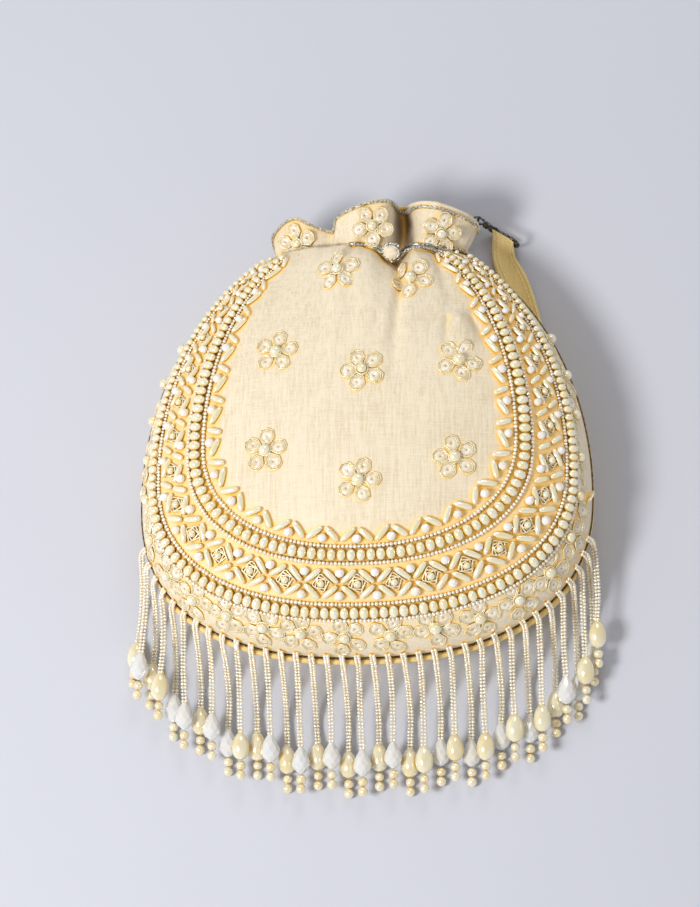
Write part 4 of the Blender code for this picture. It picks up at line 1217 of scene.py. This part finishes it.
def clothSeat(x, y, turn):
    normal = frontNormal(x, y)
    along = Vector((cos(turn), sin(turn), 0))
    along = (along - normal * along.dot(normal)).normalized()
    across = normal.cross(along)

    def seat(u, v, height=0.0):
        spot = Vector((x, y, 0)) + along * u + across * v
        if float(fullness(spot.x, spot.y)) < 0.14:
            return Vector((x, y, float(frontZ(x, y)))) + along * u + across * v + normal * height, normal
        return onFront(spot, height), frontNormal(spot.x, spot.y)

    return seat


def frillSeat(angle, share, turn):
    centre = frillPoint(angle, share)
    normal = frillNormal(angle, share, 0.06)
    first = Vector((cos(turn), sin(turn), 0))
    along = (first - normal * first.dot(normal)).normalized()
    across = normal.cross(along)

    def seat(u, v, height=0.0):
        return centre + along * u + across * v + normal * (height + 0.55), normal

    return seat


def makeFlowers():
    random = np.random.default_rng(9)
    seats = []
    for i, (x, y) in enumerate(flower["field"]):
        seats.append((clothSeat(x, y, radians(flower["turns"][i])), 1.0))
    for i, (x, y) in enumerate(flower["band"]):
        seats.append((clothSeat(x, y, radians(37 * i)), 1.0))
    for i, (angle, share, size) in enumerate(flower["frill"]):
        seats.append((frillSeat(radians(angle), share, radians(30 + 25 * i)), size))
    petals = []
    hearts = []
    for seat, size in seats:
        for k in range(5):
            angle = 2 * pi * k / 5 + float(random.normal(0, 0.05))
            reach = flower["petalReach"] * size * float(random.uniform(0.95, 1.05))
            spot, normal = seat(reach * cos(angle), reach * sin(angle), 0.02)
            if normal.z < 0.2 or (spot.y < body["neckY"] and fullness(spot.x, spot.y) < 0.16):
                continue
            lean = angle + float(random.normal(0, 0.14))
            outer, ignored = seat(reach * cos(angle) + cos(lean), reach * sin(angle) + sin(lean), 0.02)
            petals.append((spot, (outer - spot).normalized(), normal, size * float(random.uniform(0.94, 1.05))))
        heart, normal = seat(0, 0, 0)
        ahead, ignored = seat(1, 0, 0)
        hearts.append((heart, (ahead - heart).normalized(), normal, size))
    wires = sewnPieces("petalWires", petals, petalWire(), "goldWire", 0.0, 0.0, 41)
    sequins = sewnPieces("petalSequins", petals, petalSequin(), "sequin", 0.0, 0.0, 41)
    pearl = roundBead("flowerPearl", flower["pearl"], flower["pearl"], flower["pearl"] * 0.9, 18, 12)
    for vertex in pearl.vertices:
        vertex.co.z += flower["pearl"] * 0.32 * mm
    pearls = sewnPieces("flowerPearls", hearts, pearl, "pearl", 0.0, 0.06, 43)
    ring = tube("pearlRing", [(2.55 * cos(2 * pi * i / 24), 2.55 * sin(2 * pi * i / 24), 0.75) for i in range(24)], 0.4, 6, True)
    rings = sewnPieces("pearlRings", hearts, ring, "goldWire", 0.0, 0.04, 45)
    return wires, sequins, pearls, rings


petalWires, petalSequins, flowerPearls, pearlRings = makeFlowers()
print("flowers ready")


# Piping in the side seam

def seamLine(outward, z):
    line = uLine(1.0, 160, body["neckY"] - 2)
    path = []
    for i, point in enumerate(line):
        ahead = line[min(i + 1, len(line) - 1)] - line[max(i - 1, 0)]
        side = Vector((ahead.y, -ahead.x, 0)).normalized()
        path.append(point + side * outward + Vector((0, 0, z)))
    return path


def makeSeam():
    cord = tube("twistedPiping", seamLine(0.5, body["seamZ"] + 1.1), 0.32, 8, False, 0.45, 0.18)
    line = seamLine(0.0, body["seamZ"] - 1.2)
    low = [float(smoothStep((-40 - point.y) / 22)) for point in line]
    outward = [point + (wide - point) * share for point, wide, share in zip(line, seamLine(0.8, body["seamZ"] - 1.2), low)]
    turnedEdge = tube("seamAllowance", outward, [0.9 + share for share in low], 10)
    return addObject("twistedPiping", cord, "seamThread"), addObject("seamAllowance", turnedEdge, "tanSilk")


piping, seamAllowance = makeSeam()


# Fringe: strings of twinned seed beads that end in a drop and two small pearls

fringe = {
    "topY": -35.0,
    "strands": 36,
    "headingInset": 0.8,
    "stringRadius": 1.3,
    "dropRadius": 4.2,
    "dropLength": 12.5,
    "endPearl": 2.1,
    "reach": 35.0,
    "spread": (8.0, 1.0),
    "beadSize": 1.68,
    "beadPitch": 1.5,
    "drops": "PCPPCCPCCPPCPCPCPCPCPPCPCPCPCPPCCPCP",
}


def fringeRoots():
    line = [point for point in uLine(1.0, 200) if point.y < fringe["topY"]]
    lengths = np.concatenate([[0], np.cumsum([(b - a).length for a, b in zip(line, line[1:])])])
    count = fringe["strands"]
    roots = []
    for target in np.linspace(0, lengths[-1], count):
        x = float(np.interp(target, lengths, [p.x for p in line]))
        y = float(np.interp(target, lengths, [p.y for p in line]))
        roots.append(Vector((x, y, 0)))
    places = []
    for i, root in enumerate(roots):
        ahead = roots[min(i + 1, count - 1)] - roots[max(i - 1, 0)]
        places.append((root, Vector((ahead.y, -ahead.x, 0)).normalized()))
    return places


def strandLine(index, places):
    root, outward = places[index]
    neighbour = places[index - 1 if index else 1][0]
    spacing = abs(root.x - neighbour.x)
    gap = 0.35
    ground = fringe["dropRadius"] + gap
    raised = index % 2 == 1
    if raised:
        touching = 2 * fringe["dropRadius"] + gap
        ground += sqrt(max(0, touching ** 2 - min(spacing, touching) ** 2))
    stringZ = ground if raised else fringe["stringRadius"] + gap
    splay = (fringe["spread"][1] if root.x > 0 else -fringe["spread"][0]) * (abs(root.x) / body["halfWidth"]) ** 8
    reach = fringe["reach"] + (2 if index % 4 < 2 else -1)
    total = reach + fringe["dropLength"]
    pearl = fringe["endPearl"]

    def along(distance, z):
        start = root + outward * min(distance, 2.6)
        return Vector((start.x + splay * distance / total, start.y - max(0, distance - 2.6), z))

    endZ = ground - (ground - pearl - gap) * (0.3 if raised else 1)
    seamZ = body["seamZ"]
    first = root - outward * fringe["headingInset"]
    steps = [
        onFront(first, 1.3),
        root + outward * 2.1 + Vector((0, 0, seamZ + 3.0)),
        along(4.2, seamZ - 1.0),
        along(12, stringZ + (seamZ - stringZ) * 0.46),
        along(24, stringZ + 1.6),
        along(reach, stringZ + (ground - stringZ) * 0.8),
    ]
    drop = (along(reach, ground), along(total, ground + (endZ - ground) * 0.6))
    ends = (along(total + pearl, endZ), along(total + 3 * pearl, endZ))
    return steps, drop, ends


def makeFringe():
    places = fringeRoots()
    random = np.random.default_rng(5)
    threads = []
    pearlDrops = []
    crystalDrops = []
    ends = []
    for i in range(fringe["strands"]):
        steps, drop, pearls = strandLine(i, places)
        sway = Vector((float(random.normal(0, 0.5)), float(random.normal(0, 0.6)), 0))
        steps[3] = steps[3] + sway * 0.6
        steps[4] = steps[4] + sway * 0.8
        line = smoothRoute(steps, 14)
        lean = random.uniform(-0.4, 0.4)
        for phase in (0, pi):
            thread = []
            for k, point in enumerate(line):
                ahead = (line[min(k + 1, len(line) - 1)] - line[max(k - 1, 0)]).normalized()
                side = Vector((0, 0, 1)) - ahead * ahead.z
                side.normalize()
                across = ahead.cross(side)
                angle = phase + lean + 0.3 * sin(k * 0.11 + i)
                thread.append((point + side * sin(angle) * 0.5 + across * cos(angle) * 0.68, side, 1.0))
            threads.append(thread)
        tip, base = drop
        way = (base - tip).normalized()
        centre = (tip + base) / 2
        place = (centre, way, Vector((0, 0, 1)), 1.0)
        if fringe["drops"][i] == "P":
            pearlDrops.append(place)
        else:
            crystalDrops.append(place)
        for spot in pearls:
            ends.append((spot, way, Vector((0, 0, 1)), 1.0))
    size = fringe["beadSize"]
    strings = strungBeads("fringeStrings", threads, roundBead("stringBead", size * 0.86, size, None, 7, 5), "seed",
                          fringe["beadPitch"], 0.5, 0.12, 51)
    long = fringe["dropLength"]
    radius = fringe["dropRadius"]
    profile = [(-long / 2, 0)]
    for k in range(1, 16):
        share = k / 16
        angle = pi * share
        profile.append((-long / 2 * cos(angle), radius * sin(angle) * (0.62 + 0.42 * share) / 0.9))
    profile.append((long / 2, 0))
    pearlDrop = turnedShape("pearlDrop", profile, 20)
    pearls = sewnPieces("pearlDrops", pearlDrops, pearlDrop, "dropPearl", 0.0, 0.04, 53)
    profile = [(-long / 2, 0), (-long * 0.46, radius * 0.26), (-long * 0.22, radius * 0.68), (long * 0.04, radius * 0.96),
               (long * 0.2, radius), (long * 0.36, radius * 0.72), (long * 0.48, radius * 0.28), (long / 2, 0)]
    crystalDrop = turnedShape("crystalDrop", profile, 8, stagger=True, smooth=False)
    crystals = sewnPieces("crystalDrops", crystalDrops, crystalDrop, "dropCrystal", 0.0, 0.04, 55, False)
    endPearls = sewnPieces("endPearls", ends, roundBead("endPearl", 4.2, 4.2, None, 14, 9), "dropPearl", 0.0, 0.05, 57)
    return strings, pearls, crystals, endPearls


fringeStrings, pearlDrops, crystalDrops, endPearls = makeFringe()
print("fringe ready")


# Chain, snap hook and wrist strap

hook = {
    "eye": (49.5, 118.0),
    "angle": radians(-35),
    "wire": 0.8,
    "barZ": 2.9,
    "height": 8.8,
    "length": 21.2,
    "tipBend": 2.4,
    "barrelRadius": 1.7,
    "barrelLength": 2.6,
    "gateRadius": 0.65,
    "ringRadius": 2.5,
    "ringWire": 0.5,
    "ringCount": 3,
    "eyeletAngle": radians(216),
}


def hookPoint(along, up):
    way = Vector((cos(hook["angle"]), sin(hook["angle"]), 0))
    return Vector((*hook["eye"], hook["barZ"])) + way * along + Vector((0, 0, up))


def ring(name, centre, axis, radius, wire):
    turn = axis.to_track_quat("Z", "Y").to_matrix()
    path = [centre + turn @ Vector((radius * cos(2 * pi * i / 40), radius * sin(2 * pi * i / 40), 0)) for i in range(40)]
    sides = 12
    points = []
    for i, spot in enumerate(path):
        out = (spot - centre).normalized()
        for j in range(sides):
            tilt = 2 * pi * j / sides
            points.append(spot + out * wire * cos(tilt) + axis.normalized() * wire * sin(tilt))
    faces = gridFaces(len(path), sides, True)
    last = (len(path) - 1) * sides
    faces += [(last + j, last + (j + 1) % sides, (j + 1) % sides, j) for j in range(sides)]
    return meshFrom(name, points, faces)


def cadFrillPoint(angle, share):
    wave = cos(body["lobes"] * (angle - body["lobePhase"]))
    height = 0.8 + 4.2 * share
    rise = frill["frontRise"] if sin(angle) > 0 else frill["backDrop"]
    length = 18 + 2 * wave + 3 * min(0, sin(angle))
    y = body["neckY"] + 0.35 + share * length
    x = 1.8 + 2.6 * share - (42.5 + 3.2 * share + wave * height * 0.5) * cos(angle)
    return Vector((x, y, body["seamZ"] + (rise + wave * height) * sin(angle)))


def chainSpots():
    share = 1 - 2.1 / 18
    angle = hook["eyeletAngle"]
    step = 0.01
    roundWay = cadFrillPoint(angle + step, share) - cadFrillPoint(angle - step, share)
    outStep = cadFrillPoint(angle, share + step) - cadFrillPoint(angle, share - step)
    normal = roundWay.cross(outStep).normalized()
    eyelet = cadFrillPoint(angle, share) - normal * frill["wall"] / 2
    outWay = (cadFrillPoint(angle, 1) - cadFrillPoint(angle, 0)).normalized()
    first = eyelet + outWay * hook["ringRadius"]
    run = hookPoint(0, hook["height"] / 2) - first
    way = run.normalized()
    rimWay = outWay.cross(normal).normalized()
    flatAxis = way.cross(hookPoint(1, 0) - hookPoint(0, 0)).normalized()
    axes = [rimWay, flatAxis, way.cross(flatAxis), flatAxis]
    return [(first + run * i / hook["ringCount"], axes[i]) for i in range(hook["ringCount"] + 1)]


def makeHook():
    spots = chainSpots()
    rings = []
    for i in range(hook["ringCount"]):
        centre, axis = spots[i]
        rings.append(ring(f"chainRing{i + 1}", centre, axis, hook["ringRadius"], hook["ringWire"]))
    chain = addObject("chainRings", joinMeshes("chainRings", rings), "darkMetal")
    middle = hook["height"] / 2
    barrelStart = hook["ringRadius"] + hook["ringWire"] * 0.5
    barrelEnd = barrelStart + hook["barrelLength"]
    tip = hook["length"]
    bar = [
        (barrelEnd - 1.2, middle - 0.5),
        (barrelEnd + 0.3, middle * 0.35),
        (barrelEnd + 1.3, 0),
        (tip - hook["tipBend"], 0),
        (tip - 0.9, middle * 0.22),
        (tip, middle),
        (tip - 0.6, middle * 1.55),
        (tip - 2.2, hook["height"]),
        (tip - 3.4, hook["height"]),
    ]
    path = smoothRoute([hookPoint(along, up) for along, up in bar], 8)
    claw = tube("claw", path, hook["wire"], 14)
    way = hookPoint(1, 0) - hookPoint(0, 0)
    profile = [(-0.05, 0), (0, 1.1), (0.15, 1.5), (0.5, 1.7), (1.0, 1.55), (1.3, 1.6), (1.8, 1.72), (2.3, 1.5), (2.6, 1.2), (2.65, 0)]
    barrel = turnedShape("barrel", profile, 24)
    turn = Matrix.Translation(hookPoint(barrelStart, middle) * mm) @ way.to_track_quat("X", "Z").to_matrix().to_4x4()
    barrel.transform(turn)
    eye = ring("eye", *spots[-1], hook["ringRadius"], hook["ringWire"] * 1.1)
    clawBody = addObject("clawBody", joinMeshes("clawBody", [claw, barrel, eye]), "darkMetal")
    pivot = hookPoint(barrelEnd - 0.8, middle + hook["barrelRadius"] + hook["gateRadius"] + 0.35)
    nose = hookPoint(tip - 3.4, hook["height"])
    run = (nose - pivot).normalized()
    end = nose - run * 0.5
    gatePath = [pivot - run * 0.9] + [pivot.lerp(end, t / 12) for t in range(13)]
    radii = [0.45] + [hook["gateRadius"] * (1 - 0.12 * (t / 12) ** 3) for t in range(13)]
    gate = tube("gate", gatePath, radii, 14)
    knob = roundBead("gateKnob", 1.7, 1.5, None, 14, 8)
    knob.transform(Matrix.Translation(pivot.lerp(end, 0.38) * mm + Vector((0, 0, 0.4 * mm))))
    clawGate = addObject("clawGate", joinMeshes("clawGate", [gate, knob]), "darkMetal")
    return chain, clawBody, clawGate


strap = {
    "width": 11.6,
    "wall": 1.0,
    "fold": 1.25,
    "layerGap": 0.8,
    "route": ((61, 99.5), (66.5, 86), (71, 70), (75, 52), (80, 31), (84, 9), (84.5, -14), (83.5, -32)),
    "stitchLines": (1.0, 2.6),
    "stitchPitch": 2.0,
}


def strapPath(steps=10):
    foldAlong = hook["length"] - hook["tipBend"] - 0.35 - strap["width"] / 2
    start = hookPoint(foldAlong, 0)
    plan = [Vector((start.x, start.y, 0))] + [Vector((x, y, 0)) for x, y in strap["route"]]
    line = smoothRoute(plan, steps)
    barWay = (hookPoint(1, 0) - hookPoint(0, 0)).normalized()
    count = len(line)
    scale = steps / 2

    def across(i):
        ahead = (line[min(i + 1, count - 1)] - line[max(i - 1, 0)]).normalized()
        square = Vector((-ahead.y, ahead.x, 0))
        return barWay.lerp(square, float(smoothStep(i / (4 * scale)))).normalized()

    reach = strap["fold"] + strap["wall"] / 2
    lowZ = hook["barZ"] - reach
    highZ = hook["barZ"] + reach
    farHigh = lowZ + strap["wall"] + strap["layerGap"]
    path = [(Vector((p.x, p.y, lowZ)), across(i)) for i, p in enumerate(line)]
    ahead = (line[-1] - line[-2]).normalized()
    bulge = (strap["layerGap"] + strap["wall"]) / 2
    middle = (lowZ + farHigh) / 2
    for turn in range(1, 8):
        angle = -pi / 2 + pi * turn / 8
        spot = line[-1] + ahead * bulge * cos(angle)
        path.append((Vector((spot.x, spot.y, middle + bulge * sin(angle))), across(count - 1)))
    for i in range(count - 1, -1, -1):
        share = float(smoothStep(i / (6 * scale)))
        path.append((Vector((line[i].x, line[i].y, highZ + (farHigh - highZ) * share)), across(i)))
    back = (line[0] - line[1]).normalized()
    back = (back - barWay * back.dot(barWay)).normalized()
    for turn in range(1, 12):
        angle = pi / 2 - pi * turn / 12
        spot = line[0] + back * reach * cos(angle)
        path.append((Vector((spot.x, spot.y, hook["barZ"] + reach * sin(angle))), barWay))
    return path, count


def makeStrap():
    path, count = strapPath()
    points = []
    frames = []
    spots = [spot for spot, side in path]
    for i, (spot, side) in enumerate(path):
        way = (spots[(i + 1) % len(spots)] - spots[i - 1]).normalized()
        normal = side.cross(way).normalized()
        frames.append((spot, side, normal))
        half = strap["width"] / 2
        wall = strap["wall"] / 2
        for across, up in ((half, 0.55), (half - 0.25, 1), (half - 1.1, 1.05), (half - 1.3, 0.8), (0, 0.95), (1.3 - half, 0.8),
                           (1.1 - half, 1.05), (0.25 - half, 1), (-half, 0.55), (-half, -0.55), (0.25 - half, -1),
                           (half - 0.25, -1), (half, -0.55)):
            points.append(spot + side * across + normal * wall * up)
    columns = 13
    faces = gridFaces(len(path), columns, True)
    last = (len(path) - 1) * columns
    faces += [(last + j, last + (j + 1) % columns, (j + 1) % columns, j) for j in range(columns)]
    band = addObject("strapBand", meshFrom("strapBand", points, faces), "tanSilk")
    threads = []
    start = count + 7
    for inset in strap["stitchLines"]:
        for sign in (1, -1):
            thread = []
            for spot, side, normal in frames[start:start + count]:
                outer = normal if normal.z > 0 else -normal
                place = spot + side * sign * (strap["width"] / 2 - inset) + outer * (strap["wall"] / 2 + 0.02)
                thread.append((place, outer, 1.0))
            threads.append(thread)
    stitch = roundBead("stitch", 2.1, 0.62, 0.4, 6, 4)
    stitches = strungBeads("strapStitches", threads, stitch, "stitchThread", strap["stitchPitch"], 0.0, 0.05, 61)
    length = sum((b - a).length for a, b in zip(spots, spots[1:] + spots[:1]))
    return band, stitches, length


chainRings, clawBody, clawGate = makeHook()
strapBand, strapStitches, strapLength = makeStrap()
print("hook and strap ready")


# Floor and lights

studio = {
    "floor": (206, 209, 222),
    "keyPower": 12.0,
    "fillPower": 2.3,
    "world": 0.58,
}


def addLight(name, place, target, size, power, colour):
    lamp = bpy.data.lights.new(name, "AREA")
    lamp.shape = "DISK"
    lamp.size = size
    lamp.energy = power
    lamp.color = colour
    holder = bpy.data.objects.new(name, lamp)
    bpy.context.scene.collection.objects.link(holder)
    holder.location = place
    holder.rotation_euler = (Vector(target) - Vector(place)).to_track_quat("-Z", "Y").to_euler()


def makeStudio():
    floor = Finish("paleFloor")
    colour = floor.blend(floor.noise((0.01, 0.01, 0.01)) * 0.3, paint(*studio["floor"]), paint(214, 216, 227))
    finishes["floor"] = floor.done(baseColor=colour, roughness=0.9)
    points = [(-1500, -1500, 0), (1500, -1500, 0), (1500, 1500, 0), (-1500, 1500, 0)]
    ground = addObject("floor", meshFrom("floor", points, [(0, 1, 2, 3)], False, False), "floor")
    addLight("keyLight", (-0.62, -0.42, 1.1), (0, 0, 0.02), 0.4, studio["keyPower"], (1, 0.985, 0.95))
    addLight("fillLight", (0.2, 0.9, 0.9), (0, 0, 0.02), 0.5, studio["fillPower"], (0.95, 0.97, 1))
    world = bpy.data.worlds.new("studio")
    world.use_nodes = True
    sky = Nodes(world.node_tree)
    spot = sky.add("ShaderNodeTexCoord", out="Generated")
    height = sky.add("ShaderNodeSeparateXYZ", None, {0: spot}, "Z")
    tone = sky.add("ShaderNodeValToRGB", {"stops": ((0.35, (1.0, 1.0, 1.0)), (0.97, (0.5, 0.47, 0.43)))}, {0: height})
    background = world.node_tree.nodes["Background"]
    world.node_tree.links.new(tone.socket, background.inputs["Color"])
    background.inputs["Strength"].default_value = studio["world"]
    bpy.context.scene.world = world
    bpy.context.scene.view_settings.view_transform = "Standard"


makeStudio()
print("studio ready")


# What each piece stands for and rides on

def stand(piece, slot, *nodes, rides="bag"):
    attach(piece, rides)
    if nodes:
        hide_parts(*nodes)


def numbered(name, count, first=1):
    return [f"{name}_{i}" for i in range(first, first + count)]


flowerNodes = numbered("field_flower", 8) + numbered("border_flower", 20) + numbered("frill_flower", 3)
stand(silkFront, "silk", "front_panel")
stand(silkBack, "tan_silk", "back_panel")
stand(satinLining, "lining_satin", "lining")
stand(silkFrill, "silk", "mouth_frill")
stand(laceBand, "metallic_thread", "frill_lace")
stand(laceStitches, "metallic_thread")
stand(laceDots, "metallic_thread")
stand(drawstring, "metallic_thread", "drawstring")
stand(silkKnob, "silk")
stand(piping, "metallic_thread", "seam_piping")
stand(seamAllowance, "tan_silk")
for i in range(4):
    stand(rows[i], "seed_bead", f"seed_row_{i + 1}")
for i in range(2):
    stand(rows[4 + i], "pearl", f"oval_pearl_row_{i + 1}")
stand(zigzagPearls, "pearl", "inner_zigzag")
stand(diamondPearls, "pearl", "diamond_row_a", "diamond_row_b")
stand(spiralWires, "metallic_thread")
stand(spiralPearls, "pearl")
stand(borderCrystals, "sequin")
stand(petalSequins, "sequin", *flowerNodes)
stand(petalWires, "metallic_thread")
stand(flowerPearls, "pearl")
stand(pearlRings, "metallic_thread")
stand(fringeStrings, "seed_bead", *numbered("fringe", 6))
stand(pearlDrops, "pearl")
stand(crystalDrops, "sequin")
stand(endPearls, "pearl")
stand(chainRings, "dark_metal", *numbered("chain_ring", 3))
stand(clawBody, "dark_metal", "claw_body")
stand(clawGate, "dark_metal", "claw_gate", rides="gate")
stand(strapBand, "tan_silk", "wrist_strap")
stand(strapStitches, "seed_bead")

sewnOn = rows + [zigzagPearls, diamondPearls, spiralWires, spiralPearls, borderCrystals, petalSequins, petalWires,
                 flowerPearls, pearlRings, piping, fringeStrings, pearlDrops, crystalDrops, endPearls]
strapLength * mm
